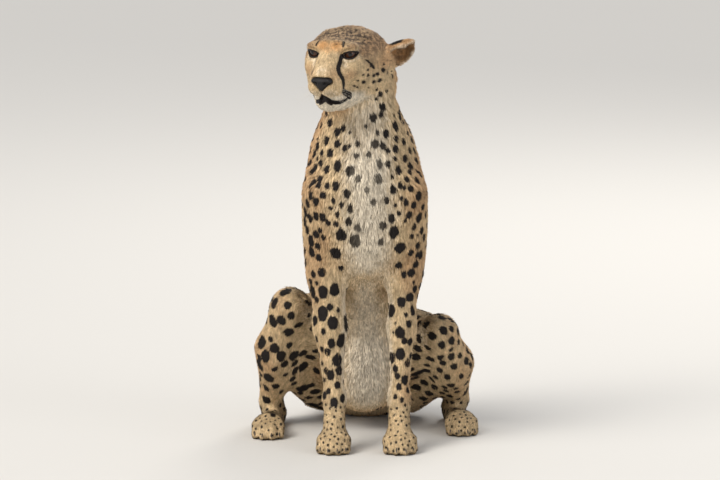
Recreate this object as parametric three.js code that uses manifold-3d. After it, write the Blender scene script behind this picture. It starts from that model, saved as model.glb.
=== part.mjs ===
// A cheetah, sitting upright on its haunches with its head turned a little to its right: a
// life-size still model, in millimetres. +Z is up and the animal faces -Y, so its own right
// side is at -X. The origin is on the floor, below the middle of the model's bounding box.
//
// The flesh is one smooth field: limbs, muscles and skull are tapered bones and rounded masses
// that melt into each other. The field is meshed, thinned, set on the floor and then parted
// into named nodes by thin cuts. Eyes, nose leather and claws are solids of their own.
import * as THREE from "three";
import { mergeVertices } from "three/addons/utils/BufferGeometryUtils.js";
import Module from "manifold-3d";

// ---------------------------------------------------------------- driving dimensions

const GAP = 0.3; // between touching nodes
const FLOOR_SINK = 2.5; // how deep paws, rump and tail press into their flats
const BODY_CELL = 4.6; // mesh grid on the body
const HEAD_CELL = 2.3; // mesh grid on the head
const BODY_TRIANGLES = 6000; // after thinning, before the cuts
const HEAD_TRIANGLES = 3800;

const WITHERS_HEIGHT = 640;
const ELBOW_HEIGHT = 345;
const WRIST_HEIGHT = 104;
const EYE_HEIGHT = 806;
const HEAD_YAW = 21; // degrees towards the animal's right
const HEAD_PITCH = 9; // degrees, nose down
const EYE_SPACING = 80; // between the pupils
const EYE_RADIUS = 15.5;
const TAIL_LENGTH = 640;

// ---------------------------------------------------------------- small vector helpers

const rad = THREE.MathUtils.degToRad;
const add = (a, b, t = 1) => [a[0] + b[0] * t, a[1] + b[1] * t, a[2] + b[2] * t];
const sub = (a, b) => add(a, b, -1);
const dot = (a, b) => a[0] * b[0] + a[1] * b[1] + a[2] * b[2];
const cross = (a, b) => [
  a[1] * b[2] - a[2] * b[1],
  a[2] * b[0] - a[0] * b[2],
  a[0] * b[1] - a[1] * b[0],
];
const unit = (a) => {
  const n = Math.hypot(...a);
  return [a[0] / n, a[1] / n, a[2] / n];
};
const mix = (a, b, t) => add(a, sub(b, a), t);

// A frame has an origin and three unit axes; at() places a point given along them.
function frameOf(origin, x, y, z) {
  const at = (p, q, r) => add(add(add(origin, x, p), y, q), z, r);
  const turn = (p, q, r) => sub(at(p, q, r), origin);
  return { origin, axes: [x, y, z], at, turn };
}
const WORLD = frameOf([0, 0, 0], [1, 0, 0], [0, 1, 0], [0, 0, 1]);

// ---------------------------------------------------------------- the flesh field

// Each mass has dist(x, y, z), negative inside, and melt, the width of its blend with the rest.
const flesh = [];

// A tapered bone from a to b. wide stretches its section along the axis across.
function bone(a, b, ra, rb, melt, across = null, wide = 1) {
  const d = sub(b, a);
  const dd = dot(d, d);
  const shrink = across ? 1 / wide - 1 : 0;
  const scale = Math.min(1, wide);
  const dist = (x, y, z) => {
    let px = x - a[0];
    let py = y - a[1];
    let pz = z - a[2];
    const t = Math.max(0, Math.min(1, (px * d[0] + py * d[1] + pz * d[2]) / dd));
    px -= t * d[0];
    py -= t * d[1];
    pz -= t * d[2];
    if (across) {
      const w = (px * across[0] + py * across[1] + pz * across[2]) * shrink;
      px += w * across[0];
      py += w * across[1];
      pz += w * across[2];
    }
    return (Math.sqrt(px * px + py * py + pz * pz) - ra - t * (rb - ra)) * scale;
  };
  return { dist, melt };
}

// A rounded mass with half sizes r along a frame's axes, centred at c.
function mass(c, r, melt, frame = WORLD) {
  const [X, Y, Z] = frame.axes;
  const least = Math.min(...r);
  const dist = (x, y, z) => {
    const px = x - c[0];
    const py = y - c[1];
    const pz = z - c[2];
    const u = (px * X[0] + py * X[1] + pz * X[2]) / r[0];
    const v = (px * Y[0] + py * Y[1] + pz * Y[2]) / r[1];
    const w = (px * Z[0] + py * Z[1] + pz * Z[2]) / r[2];
    const k = Math.sqrt(u * u + v * v + w * w);
    const g = Math.sqrt((u / r[0]) ** 2 + (v / r[1]) ** 2 + (w / r[2]) ** 2);
    return g < 1e-9 ? -least : (k * (k - 1)) / g;
  };
  return { dist, melt };
}

const grow = (...pieces) => flesh.push(...pieces);
const carve = (piece) => flesh.push({ ...piece, hollow: true });

function field(x, y, z, pieces = flesh) {
  let d = 1e3;
  for (const m of pieces) {
    let e = m.dist(x, y, z);
    const k = m.melt;
    if (m.hollow) {
      e = -e;
      if (e > d - k) {
        const h = Math.max(k - Math.abs(d - e), 0) / k;
        d = Math.max(d, e) + (h * h * k) / 4;
      }
    } else if (e < d + k) {
      const h = Math.max(k - Math.abs(d - e), 0) / k;
      d = Math.min(d, e) - (h * h * k) / 4;
    }
  }
  return d;
}

// ---------------------------------------------------------------- trunk and neck

// Stations down the spine: its middle, half width, half depth across the spine, and how much
// narrower the underside is than the back. The neck leans a little to the animal's right.
const TRUNK = [
  { x: 0, y: 22, z: 748, wide: 63, deep: 57, keel: 0 },
  { x: -6, y: 24, z: 700, wide: 67, deep: 62, keel: 0 },
  { x: -6, y: 28, z: 650, wide: 83, deep: 77, keel: 0.05 },
  { x: -4, y: 40, z: 585, wide: 99, deep: 98, keel: 0.1 },
  { x: -1, y: 70, z: 505, wide: 103, deep: 116, keel: 0.22 },
  { x: 0, y: 122, z: 425, wide: 103, deep: 112, keel: 0.28 },
  { x: 0, y: 182, z: 335, wide: 93, deep: 97, keel: 0.2 },
  { x: 0, y: 238, z: 250, wide: 86, deep: 88, keel: 0.1 },
  { x: 0, y: 296, z: 170, wide: 94, deep: 92, keel: 0 },
  { x: 0, y: 345, z: 110, wide: 92, deep: 82, keel: 0 },
];
const TRUNK_STEPS = 3; // lengths between stations

function trunk(melt) {
  const key = (name) => TRUNK.map((s) => s[name]);
  const lerpKeys = (values, t) => {
    const curve = new THREE.CatmullRomCurve3(values.map((v, i) => new THREE.Vector3(v, i, 0)));
    return curve.getPoint(t).x;
  };
  const n = (TRUNK.length - 1) * TRUNK_STEPS;
  const cuts = Array.from({ length: n + 1 }, (_, i) => {
    const values = Object.keys(TRUNK[0]).map((name) => [name, lerpKeys(key(name), i / n)]);
    return Object.fromEntries(values);
  });
  const dist = (x, y, z) => {
    let best = 1e9;
    for (let i = 0; i < n; i++) {
      const a = cuts[i];
      const b = cuts[i + 1];
      const dy = b.y - a.y;
      const dz = b.z - a.z;
      const len = Math.hypot(dy, dz);
      const along = ((y - a.y) * dy + (z - a.z) * dz) / (len * len);
      const t = Math.max(0, Math.min(1, along));
      const past = (along - t) * len;
      const across = ((y - a.y) * -dz + (z - a.z) * dy) / len; // positive towards the back
      const deep = a.deep + t * (b.deep - a.deep);
      const under = Math.max(0, Math.min(1, -across / deep));
      const keel = a.keel + t * (b.keel - a.keel);
      const wide = (a.wide + t * (b.wide - a.wide)) * (1 - keel * under);
      const u = (x - a.x - t * (b.x - a.x)) / wide;
      const v = across / deep;
      const w = past / deep;
      const k = Math.sqrt(u * u + v * v + w * w);
      const g = Math.hypot(u / wide, v / deep, w / deep);
      const d = g < 1e-9 ? -deep : (k * (k - 1)) / g;
      if (d < best) best = d;
    }
    return best;
  };
  return { dist, melt };
}

// ---------------------------------------------------------------- the head's frame

const yaw = rad(HEAD_YAW);
const pitch = rad(HEAD_PITCH);
const forward = [
  -Math.sin(yaw) * Math.cos(pitch),
  -Math.cos(yaw) * Math.cos(pitch),
  -Math.sin(pitch),
];
const leftward = [Math.cos(yaw), -Math.sin(yaw), 0];
// The head's origin lies between the pupils; points are given forward, left and up of it.
const HEAD = frameOf([-66, -82, EYE_HEIGHT], forward, leftward, cross(forward, leftward));
const both = (make) => [1, -1].forEach(make);

// ---------------------------------------------------------------- limbs

const SHOULDERS = {
  left: { top: [46, 86, WITHERS_HEIGHT - 16], point: [77, 12, 514] },
  right: { top: [-54, 86, WITHERS_HEIGHT - 16], point: [-78, 12, 514] },
};
const FORELEGS = {
  left: { elbow: [77, 60, ELBOW_HEIGHT], wrist: [68, 20, WRIST_HEIGHT], girth: 29, toes: 4 },
  right: { elbow: [-76, 60, ELBOW_HEIGHT], wrist: [-61, 20, WRIST_HEIGHT], girth: 34, toes: -4 },
};
const HIND_LEGS = {
  left: { hip: [52, 325, 122], knee: [148, 152, 208], ankle: [190, 312, 44], toes: 6 },
  right: { hip: [-52, 325, 128], knee: [-150, 150, 262], ankle: [-192, 276, 44], toes: -4 },
};

function forelimb(side) {
  const s = side === "left" ? 1 : -1;
  const { top, point } = SHOULDERS[side];
  const { elbow, wrist, girth } = FORELEGS[side];
  const swell = mix(elbow, wrist, 0.42); // the forearm's muscle ends below here
  grow(
    bone(top, point, 34, 35, 48),
    bone(point, elbow, 35, 31, 40),
    mass([s * 85, 64, 442], [37, 48, 102], 38),
    bone(add(elbow, [0, 18, 12]), add(elbow, [0, 8, -30]), 17, 15, 22),
    bone(add(elbow, [0, -4, 6]), swell, girth + 3, girth - 1, 24, [1, 0, 0], 0.97),
    bone(swell, wrist, girth - 1, 19.5, 20, [1, 0, 0], 0.96),
    mass(wrist, [21.5, 20, 24], 12),
    mass(add(wrist, [0, 20, -6]), [10, 10, 13], 10),
  );
}

function hindLimb(side) {
  const s = side === "left" ? 1 : -1;
  const { hip, knee, ankle } = HIND_LEGS[side];
  const calf = add(mix(knee, ankle, 0.42), [s * 10, 0, 0]);
  grow(
    bone(add(hip, [s * 6, -8, 22]), add(knee, [0, 6, 0]), 76, 38, 34),
    mass(mix(add(hip, [0, 0, 20]), knee, 0.55), [54, 66, 62], 30),
    bone(add(hip, [s * 34, 34, -46]), mix(knee, ankle, 0.55), 68, 32, 34),
    bone(knee, calf, 37, 41, 22),
    bone(calf, add(ankle, [0, 4, 0]), 41, 23, 24),
    mass(add(knee, [0, -14, 6]), [25, 20, 28], 16),
  );
}

// A foot's own frame: forward along its toes, across towards the animal's left, and up.
function footFrame(ball, heading) {
  const a = rad(heading);
  const ahead = [Math.sin(a), -Math.cos(a), 0];
  const across = [Math.cos(a), Math.sin(a), 0];
  return frameOf([ball[0], ball[1], 0], ahead, across, [0, 0, 1]);
}

const TOE_SPREAD = [-23, -8.5, 8.5, 23]; // across the foot
const TOE_REACH = [30, 42, 42, 30]; // forward of the ball
const claws = [];

function toes(name, foot, size) {
  TOE_SPREAD.forEach((across, i) => {
    const reach = TOE_REACH[i];
    const root = foot.at(-2 * size, across * 0.62 * size, 30 * size);
    const knuckle = foot.at((reach - 16) * size, across * 0.95 * size, 26 * size);
    const tip = foot.at(reach * size, across * 1.08 * size, 10.5 * size - FLOOR_SINK / 2);
    grow(
      bone(root, knuckle, 14 * size, 12.5 * size, 9),
      bone(knuckle, tip, 12.5 * size, 10.5 * size, 5),
    );
    claws.push({
      name: `claw_${name}_${i + 1}`,
      root: foot.at((reach + 5.5) * size, across * 1.09 * size, 15.5 * size),
      ahead: foot.turn(1, across * 0.006, 0),
    });
  });
}

function frontPaw(side) {
  const { wrist, toes: heading } = FORELEGS[side];
  const foot = footFrame([wrist[0], wrist[1] - 26], heading);
  grow(
    bone(wrist, foot.at(2, 0, 42), 19, 21, 14, foot.axes[1], 1.1),
    mass(foot.at(-4, 0, 13 - FLOOR_SINK), [24, 25, 13], 10, foot),
  );
  toes(`front_${side}`, foot, 1);
  return foot;
}

function hindPaw(side) {
  const { ankle, toes: heading } = HIND_LEGS[side];
  const foot = footFrame([ankle[0] + heading * 0.6, ankle[1] - 128], heading);
  const heel = foot.at(-142, 0, 22 - FLOOR_SINK);
  const sole = foot.at(-50, 0, 19 - FLOOR_SINK / 2);
  grow(
    bone(ankle, heel, 20, 22, 14),
    bone(heel, sole, 22, 19, 14),
    bone(sole, foot.at(0, 0, 27), 19, 22, 14, foot.axes[1], 1.15),
    mass(foot.at(-2, 0, 13 - FLOOR_SINK), [24, 24, 13], 10, foot),
  );
  toes(`hind_${side}`, foot, 0.97);
  return foot;
}

// ---------------------------------------------------------------- tail

const TAIL_ROOT = [0, 402, 84];
const tailCurve = new THREE.CatmullRomCurve3(
  [
    TAIL_ROOT,
    [0, 448, 40],
    [6, 510, 20],
    [28, 600, 17],
    [54, 700, 16],
    [52, 800, 15],
    [14, 890, 15],
    [-30, 968, 15],
  ].map((p) => new THREE.Vector3(...p)),
);
const TAIL_STEPS = 26;
// thick at the root, slim along its length, and full again in the brush
const tailRadius = (t) => 14.5 + 20 * Math.exp(-t * 11) + 3.5 * Math.exp(-((t - 0.88) ** 2) / 0.012);

function tail() {
  const share = TAIL_LENGTH / tailCurve.getLength();
  const point = (i) => tailCurve.getPointAt(Math.min(1, (i / TAIL_STEPS) * share)).toArray();
  for (let i = 0; i < TAIL_STEPS; i++) {
    const [ra, rb] = [i, i + 1].map((j) => tailRadius(j / TAIL_STEPS));
    const lift = (j, r) => {
      const p = point(j);
      return [p[0], p[1], Math.max(p[2], r - FLOOR_SINK)];
    };
    grow(bone(lift(i, ra), lift(i + 1, rb), ra, i === TAIL_STEPS - 1 ? rb * 0.7 : rb, 8));
  }
}

// ---------------------------------------------------------------- head

const EYE_TURN = 27; // degrees that each eye looks outward
const EYE_MIDDLE = { back: -13.5, out: EYE_SPACING / 2 - EYE_RADIUS * Math.sin(rad(EYE_TURN)) };
const LID_THICKNESS = 3;
const SLIT = { length: 33, above: 4.8, below: 6.2, tilt: 6 };

function skull() {
  const part = (f, l, u, r, melt) => mass(HEAD.at(f, l, u), r, melt, HEAD);
  const limb = (a, b, ra, rb, melt, wide = 1) =>
    bone(HEAD.at(...a), HEAD.at(...b), ra, rb, melt, leftward, wide);
  grow(
    part(-72, 0, -13, [62, 63, 41.5], 30), // cranium
    part(-104, 0, -23, [46, 77, 48], 26), // mane on the nape
    part(-30, 0, -2, [38, 45, 30.5], 18), // forehead
    limb([-9, 0, -2], [44, 0, -31], 28, 19, 16, 1.12), // bridge of the nose
    part(30, 0, -51, [36, 32, 27], 14), // muzzle
    limb([24, 0, -90], [-40, 0, -88], 19, 30, 14, 1.15), // chin and throat
    limb([-30, 0, -80], [-88, 0, -96], 34, 50, 30), // throat into the neck
    limb([-84, 0, -34], [-100, 0, -84], 50, 54, 34), // nape
  );
  both((s) =>
    grow(
      part(-9, s * 34, 12, [18, 19, 10], 14), // brow
      limb([-7, s * 44, -25], [-62, s * 55.5, -18], 13.5, 19, 18), // cheekbone
      limb([-14, s * 38, -34], [30, s * 17, -45], 17, 17, 14), // below the eye to the muzzle
      part(-48, s * 41, -48, [40, 28.5, 40], 20), // cheek
      part(-74, s * 50, -56, [30, 29, 38], 22), // ruff behind the jaw
      part(38, s * 18.5, -54, [23, 18, 18], 9), // whisker pad
      limb([28, s * 10, -89], [-42, s * 40, -72], 13, 24, 14), // lower jaw
    ),
  );
  both((s) => carve(part(5, s * 38, 0, [14, 19, 9.5], 9))); // eye sockets
  const lid = Array(3).fill(EYE_RADIUS + LID_THICKNESS);
  both((s) => grow(part(EYE_MIDDLE.back, s * EYE_MIDDLE.out, 0, lid, 7)));
}

// The eye's own frame looks out along the gaze, with the slit's long way across.
function eyeFrame(s) {
  const a = rad(EYE_TURN);
  const t = rad(SLIT.tilt);
  const gaze = unit(HEAD.turn(Math.cos(a), s * Math.sin(a), 0));
  const flatOut = unit(HEAD.turn(-Math.sin(a) * 0.9, s * Math.cos(a), 0));
  const up0 = HEAD.axes[2];
  const out = unit(add(add([0, 0, 0], flatOut, Math.cos(t)), up0, Math.sin(t)));
  const up = unit(add(add([0, 0, 0], flatOut, -Math.sin(t)), up0, Math.cos(t)));
  return frameOf(HEAD.at(EYE_MIDDLE.back, s * EYE_MIDDLE.out, 0), gaze, out, up);
}

// The almond opening between the lids, in front of the eyeball.
function eyeSlit(s) {
  const eye = eyeFrame(s);
  const [gaze, out, up] = eye.axes;
  const dist = (x, y, z) => {
    const p = [x - eye.origin[0], y - eye.origin[1], z - eye.origin[2]];
    const a = dot(p, out) / (SLIT.length / 2);
    const b = dot(p, up);
    const bow = 1 - a * a;
    const edge = Math.max(b - SLIT.above * bow, -b - SLIT.below * bow) * 0.75;
    return Math.max(edge, -dot(p, gaze) + 2, (Math.abs(a) - 1.05) * 8);
  };
  return { dist, melt: 1.2 };
}

// The mouth's line: from under the nose, down round the whisker pad and up to the corner. The
// lips part a little in front.
const MOUTH = [
  [59, 0, -67],
  [53, 4, -76],
  [46, 10, -84],
  [40, 18, -87.5],
  [32, 26, -89],
  [18.5, 32.5, -87.5],
  [7, 38, -80],
];
const LIP_GAP = { middle: 3.6, corner: 1.5 }; // half heights

// Slides a point onto the flesh's surface along the field's slope.
function ontoSkin(p, steps = 6) {
  const e = 0.5;
  let q = p;
  for (let i = 0; i < steps; i++) {
    const d = field(...q);
    const g = [0, 1, 2].map((j) => {
      const step = [0, 0, 0];
      step[j] = e;
      return (field(...add(q, step)) - field(...sub(q, step))) / (2 * e);
    });
    q = add(q, g, -d / Math.max(dot(g, g), 0.05));
  }
  return q;
}

function mouth() {
  const lines = [1, -1].map((s) => MOUTH.map(([f, l, u]) => ontoSkin(HEAD.at(f, s * l, u))));
  const { middle, corner } = LIP_GAP;
  const radii = MOUTH.map((_, i) => middle + ((corner - middle) * i) / (MOUTH.length - 1));
  lines.forEach((line) => {
    for (let i = 1; i < line.length; i++) {
      const [from, to] = [i === 1 ? 2.2 : radii[i - 1], radii[i]];
      carve(bone(line[i - 1], line[i], from, to, 2));
    }
  });
  const under = ontoSkin(HEAD.at(64, 0, -56));
  carve(bone(under, lines[0][0], 1.6, 2.2, 2)); // the groove below the nose
}

// ---------------------------------------------------------------- ears

// A broad lobe at the root and a narrower one towards the tip: how far out and how far below
// the ear's middle line, and the half sizes along the ear, across it and through it.
const EAR = {
  wall: 4.6, // behind the hollow
  rim: 5.6,
  lobes: [
    { out: 15, below: 3, half: [29, 27, 19], melt: 14 },
    { out: 36, below: 0, half: [24, 16.5, 14], melt: 12 },
  ],
};
const EARS = {
  // base point, direction to the tip and direction the cup opens, all in the head's frame
  left: { base: [-100, 83, -30], tip: [-0.3, 0.86, 0.48], opens: [0.74, 0.3, -0.55] },
  right: { base: [-98, -66, -30], tip: [-0.87, -0.42, -0.02], opens: [-0.22, -0.8, -0.5] },
};

function earFrame(side) {
  const { base, tip, opens } = EARS[side];
  const along = unit(HEAD.turn(...tip));
  const face = HEAD.turn(...opens);
  const open = unit(add(face, along, -dot(face, along)));
  return frameOf(HEAD.at(...base), along, cross(open, along), open);
}

function ear(side) {
  const f = earFrame(side);
  const down = side === "left" ? -1 : 1;
  for (const { out, below, half, melt } of EAR.lobes)
    grow(mass(f.at(out, below * down, 0), half, melt, f));
  for (const { out, below, half } of EAR.lobes) {
    const [long, wide, deep] = half;
    const hollow = [long - EAR.rim, wide - EAR.rim, deep * 1.5 - EAR.wall];
    carve(mass(f.at(out + 1, below * down, deep * 0.5), hollow, 2, f));
  }
  grow(mass(f.at(-15, 0, 2), [21, 21, 15], 8, f)); // the root closes the cup's bottom
}

// ---------------------------------------------------------------- the whole animal

grow(trunk(30));
const feet = {};
for (const side of ["left", "right"]) {
  forelimb(side);
  hindLimb(side);
}
grow(
  mass([0, 372, 84], [96, 62, 84 + FLOOR_SINK], 34), // rump
  mass([0, 236, 118], [82, 84, 84], 36), // belly between the thighs
  bone([-2, -2, 548], [0, 40, 398], 52, 42, 40), // breast
);
both((s) => grow(mass([s * 44, 20, 474], [38, 40, 76], 44))); // between breast and arm
for (const side of ["left", "right"]) {
  feet[`front_${side}`] = frontPaw(side);
  feet[`hind_${side}`] = hindPaw(side);
}
tail();
skull();
for (const side of ["left", "right"]) ear(side);
mouth();
both((s) => carve(eyeSlit(s)));

// ---------------------------------------------------------------- meshing

const CORNERS = [0, 1, 2, 3, 4, 5, 6, 7].map((c) => [c & 1, (c >> 1) & 1, c >> 2]);
const EDGES = [];
for (let a = 0; a < 8; a++)
  for (const axis of [1, 2, 4]) if (!(a & axis)) EDGES.push([a, a | axis]);

// A cell is clear when its inner corners hang together, its outer corners do too, and no face
// has its corners inside and outside by turns.
const CLEAR = Array.from({ length: 256 }, (_, bits) => {
  const joined = (wanted) => {
    const own = CORNERS.map((_, c) => c).filter((c) => ((bits >> c) & 1) === wanted);
    const reached = new Set(own.slice(0, 1));
    for (const c of reached)
      for (const axis of [1, 2, 4]) if (own.includes(c ^ axis)) reached.add(c ^ axis);
    return reached.size === own.length;
  };
  const inside = (c) => ((bits >> c) & 1) === 1;
  const faces = [[1, 2], [1, 4], [2, 4]].flatMap(([p, q]) =>
    CORNERS.map((_, c) => c)
      .filter((c) => !(c & p) && !(c & q))
      .map((c) => [c, c | p, c | p | q, c | q]),
  );
  const byTurns = faces.some(
    ([a, b, c, d]) => inside(a) === inside(c) && inside(b) === inside(d) && inside(a) !== inside(b),
  );
  return joined(0) && joined(1) && !byTurns;
});

// A closed mesh of the field's zero surface by surface nets: one vertex in each cell that the
// surface crosses, slid onto the surface, and one quad across each crossed grid edge. The
// field is looked up in blocks, each with only the masses that reach it.
function netOf(low, high, cell) {
  const BLOCK = 6;
  const n = [0, 1, 2].map((i) => Math.ceil((high[i] - low[i]) / cell / BLOCK) * BLOCK);
  const steps = [1, n[0], n[0] * n[1]];
  const at = (i, j, k) => (k * n[1] + j) * n[0] + i;
  const value = new Float32Array(n[0] * n[1] * n[2]).fill(1);
  const place = (i, j, k) => [low[0] + i * cell, low[1] + j * cell, low[2] + k * cell];
  const blocks = n.map((v) => v / BLOCK);
  const blockAt = (i, j, k) => (k * blocks[1] + j) * blocks[0] + i;
  const near = new Array(blocks[0] * blocks[1] * blocks[2]);
  const reach = BLOCK * cell * 0.87;
  for (let K = 0; K < blocks[2]; K++)
    for (let J = 0; J < blocks[1]; J++)
      for (let I = 0; I < blocks[0]; I++) {
        const middle = place((I + 0.5) * BLOCK, (J + 0.5) * BLOCK, (K + 0.5) * BLOCK);
        const list = flesh.filter((m) => m.dist(...middle) < reach * 1.7 + m.melt);
        near[blockAt(I, J, K)] = list;
        const depth = list.length ? field(...middle, list) : 1e3;
        const far = Math.abs(depth) > reach * 1.7;
        for (let k = K * BLOCK; k < (K + 1) * BLOCK; k++)
          for (let j = J * BLOCK; j < (J + 1) * BLOCK; j++)
            for (let i = I * BLOCK; i < (I + 1) * BLOCK; i++) {
              if (i < 2 || j < 2 || k < 2) continue;
              if (i > n[0] - 2 || j > n[1] - 2 || k > n[2] - 2) continue;
              value[at(i, j, k)] = far ? depth : field(...place(i, j, k), list) || 1e-4;
            }
      }
  const offsets = CORNERS.map(([a, b, c]) => a * steps[0] + b * steps[1] + c * steps[2]);
  const bitsAt = (here) => offsets.reduce((bits, o, c) => bits | ((value[here + o] < 0) << c), 0);
  for (let again = true; again; ) {
    again = false;
    for (let k = 0; k < n[2] - 1; k++)
      for (let j = 0; j < n[1] - 1; j++)
        for (let i = 0; i < n[0] - 1; i++) {
          const here = at(i, j, k);
          if (CLEAR[bitsAt(here)]) continue;
          const outer = offsets.map((o) => here + o).filter((c) => value[c] >= 0);
          const least = outer.reduce((a, b) => (value[b] < value[a] ? b : a));
          value[least] = -1e-3;
          again = true;
        }
  }
  const vertexOf = new Int32Array(value.length).fill(-1);
  const points = [];
  const faces = [];
  for (let k = 0; k < n[2] - 1; k++)
    for (let j = 0; j < n[1] - 1; j++)
      for (let i = 0; i < n[0] - 1; i++) {
        const here = at(i, j, k);
        const bits = bitsAt(here);
        if (bits === 0 || bits === 255) continue;
        const v = offsets.map((o) => value[here + o]);
        const sum = [0, 0, 0];
        let count = 0;
        for (const [a, b] of EDGES)
          if (v[a] < 0 !== v[b] < 0) {
            const t = v[a] / (v[a] - v[b]);
            for (let c = 0; c < 3; c++) sum[c] += CORNERS[a][c] + t * (CORNERS[b][c] - CORNERS[a][c]);
            count++;
          }
        const p = add(place(i, j, k), sum, cell / count);
        const list = near[blockAt(...[i, j, k].map((c) => Math.floor(c / BLOCK)))];
        const slope = [0, 1, 2].map((c) =>
          CORNERS.reduce((s, corner, m) => s + v[m] * (corner[c] ? 1 : -1), 0) / (4 * cell),
        );
        const steep = Math.max(dot(slope, slope), 0.05);
        const slide = Math.max(-cell / 2, Math.min(cell / 2, -field(...p, list) / Math.sqrt(steep)));
        vertexOf[here] = points.length;
        points.push(add(p, slope, slide / Math.sqrt(steep)));
      }
  for (let k = 1; k < n[2] - 1; k++)
    for (let j = 1; j < n[1] - 1; j++)
      for (let i = 1; i < n[0] - 1; i++) {
        const here = at(i, j, k);
        for (let axis = 0; axis < 3; axis++) {
          const inner = value[here] < 0;
          if (inner === value[here + steps[axis]] < 0) continue;
          const p = steps[(axis + 1) % 3];
          const q = steps[(axis + 2) % 3];
          const ring = [here, here - p, here - p - q, here - q].map((c) => vertexOf[c]);
          if (!inner) ring.reverse();
          faces.push([ring[0], ring[1], ring[2]], [ring[0], ring[2], ring[3]]);
        }
      }
  return { points, faces };
}

// Thins a closed mesh to about the wanted number of triangles by collapsing the edges whose
// loss changes the shape least, measured by the squared distance to the planes they stood on.
function thinned({ points, faces }, wanted) {
  const around = points.map(() => new Set());
  faces.forEach((f, i) => f.forEach((v) => around[v].add(i)));
  const alive = faces.map(() => true);
  const normalOf = (a, b, c) => cross(sub(b, a), sub(c, a));
  const quadric = points.map(() => new Float64Array(10));
  faces.forEach((f) => {
    const [a, b, c] = f.map((v) => points[v]);
    const m = normalOf(a, b, c);
    const area = Math.hypot(...m) || 1e-9;
    const [x, y, z] = m.map((v) => v / area);
    const w = -(x * a[0] + y * a[1] + z * a[2]);
    const terms = [x * x, x * y, x * z, x * w, y * y, y * z, y * w, z * z, z * w, w * w];
    f.forEach((v) => terms.forEach((t, i) => (quadric[v][i] += t * area)));
  });
  const errorAt = (q, [x, y, z]) =>
    q[0] * x * x + 2 * q[1] * x * y + 2 * q[2] * x * z + 2 * q[3] * x +
    q[4] * y * y + 2 * q[5] * y * z + 2 * q[6] * y + q[7] * z * z + 2 * q[8] * z + q[9];
  const bestPlace = (q, a, b) => {
    const m = [[q[0], q[1], q[2]], [q[1], q[4], q[5]], [q[2], q[5], q[7]]];
    const det = dot(m[0], cross(m[1], m[2]));
    const size = q[0] + q[4] + q[7];
    const middle = mix(a, b, 0.5);
    if (Math.abs(det) < 1e-4 * size ** 3) return middle;
    const r = [-q[3], -q[6], -q[8]];
    const p = [dot(r, cross(m[1], m[2])), 0, 0];
    p[1] = dot(m[0], cross(r, m[2]));
    p[2] = dot(m[0], cross(m[1], r));
    const best = [p[0] / det, p[1] / det, p[2] / det];
    return Math.hypot(...sub(best, middle)) > Math.hypot(...sub(a, b)) ? middle : best;
  };
  const heap = [];
  const push = (item) => {
    let i = heap.push(item) - 1;
    while (i > 0) {
      const up = (i - 1) >> 1;
      if (heap[up].cost <= heap[i].cost) break;
      [heap[up], heap[i]] = [heap[i], heap[up]];
      i = up;
    }
  };
  const pop = () => {
    const top = heap[0];
    const last = heap.pop();
    if (heap.length) {
      heap[0] = last;
      let i = 0;
      for (;;) {
        let low = 2 * i + 1;
        if (low >= heap.length) break;
        if (low + 1 < heap.length && heap[low + 1].cost < heap[low].cost) low++;
        if (heap[i].cost <= heap[low].cost) break;
        [heap[low], heap[i]] = [heap[i], heap[low]];
        i = low;
      }
    }
    return top;
  };
  const stamp = points.map(() => 0);
  const neighbours = (v) => {
    const found = new Set();
    around[v].forEach((f) => faces[f].forEach((w) => w !== v && found.add(w)));
    return found;
  };
  const LENGTH_WEIGHT = 1e-4; // keeps flat places evenly meshed
  const offer = (a, b) => {
    const q = quadric[a].map((v, i) => v + quadric[b][i]);
    const place = bestPlace(q, points[a], points[b]);
    const gap = sub(points[a], points[b]);
    const cost = errorAt(q, place) + LENGTH_WEIGHT * dot(gap, gap) ** 2;
    push({ cost, a, b, place, q, stamps: stamp[a] + stamp[b] });
  };
  points.forEach((_, a) => neighbours(a).forEach((b) => a < b && offer(a, b)));
  const turnsOver = (v, other, place) => {
    for (const f of around[v]) {
      if (faces[f].includes(other)) continue;
      const before = faces[f].map((w) => points[w]);
      const after = faces[f].map((w) => (w === v ? place : points[w]));
      const m = normalOf(...before);
      const k = normalOf(...after);
      const size = Math.hypot(...k);
      const longest = Math.max(...[0, 1, 2].map((i) => Math.hypot(...sub(after[i], after[(i + 1) % 3]))));
      if (dot(m, k) < 0.25 * Math.hypot(...m) * size || size < 0.12 * longest ** 2) return true;
    }
    return false;
  };
  let left = faces.length;
  while (left > wanted && heap.length) {
    const { a, b, place, q, stamps } = pop();
    if (stamp[a] < 0 || stamp[b] < 0 || stamp[a] + stamp[b] !== stamps) continue;
    const shared = [...neighbours(a)].filter((v) => neighbours(b).has(v));
    if (shared.length !== 2 || turnsOver(a, b, place) || turnsOver(b, a, place)) continue;
    points[a] = place;
    quadric[a] = q;
    for (const f of [...around[b]]) {
      if (faces[f].includes(a)) {
        alive[f] = false;
        left--;
        faces[f].forEach((v) => around[v].delete(f));
      } else {
        faces[f] = faces[f].map((v) => (v === b ? a : v));
        around[a].add(f);
      }
    }
    stamp[b] = -1;
    stamp[a] += 1;
    neighbours(a).forEach((v) => offer(a, v));
  }
  return { points, faces: faces.filter((_, i) => alive[i]) };
}

// ---------------------------------------------------------------- joining and cutting

const wasm = await Module();
wasm.setup();

function solidFrom({ points, faces }) {
  return new wasm.Manifold(
    new wasm.Mesh({
      numProp: 3,
      vertProperties: new Float32Array(points.flat()),
      triVerts: new Uint32Array(faces.flat()),
    }),
  );
}

function solidOf(geometry) {
  geometry.deleteAttribute("normal");
  geometry.deleteAttribute("uv");
  const merged = mergeVertices(geometry);
  return new wasm.Manifold(
    new wasm.Mesh({
      numProp: 3,
      vertProperties: merged.attributes.position.array,
      triVerts: new Uint32Array(merged.index.array),
    }),
  );
}

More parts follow.
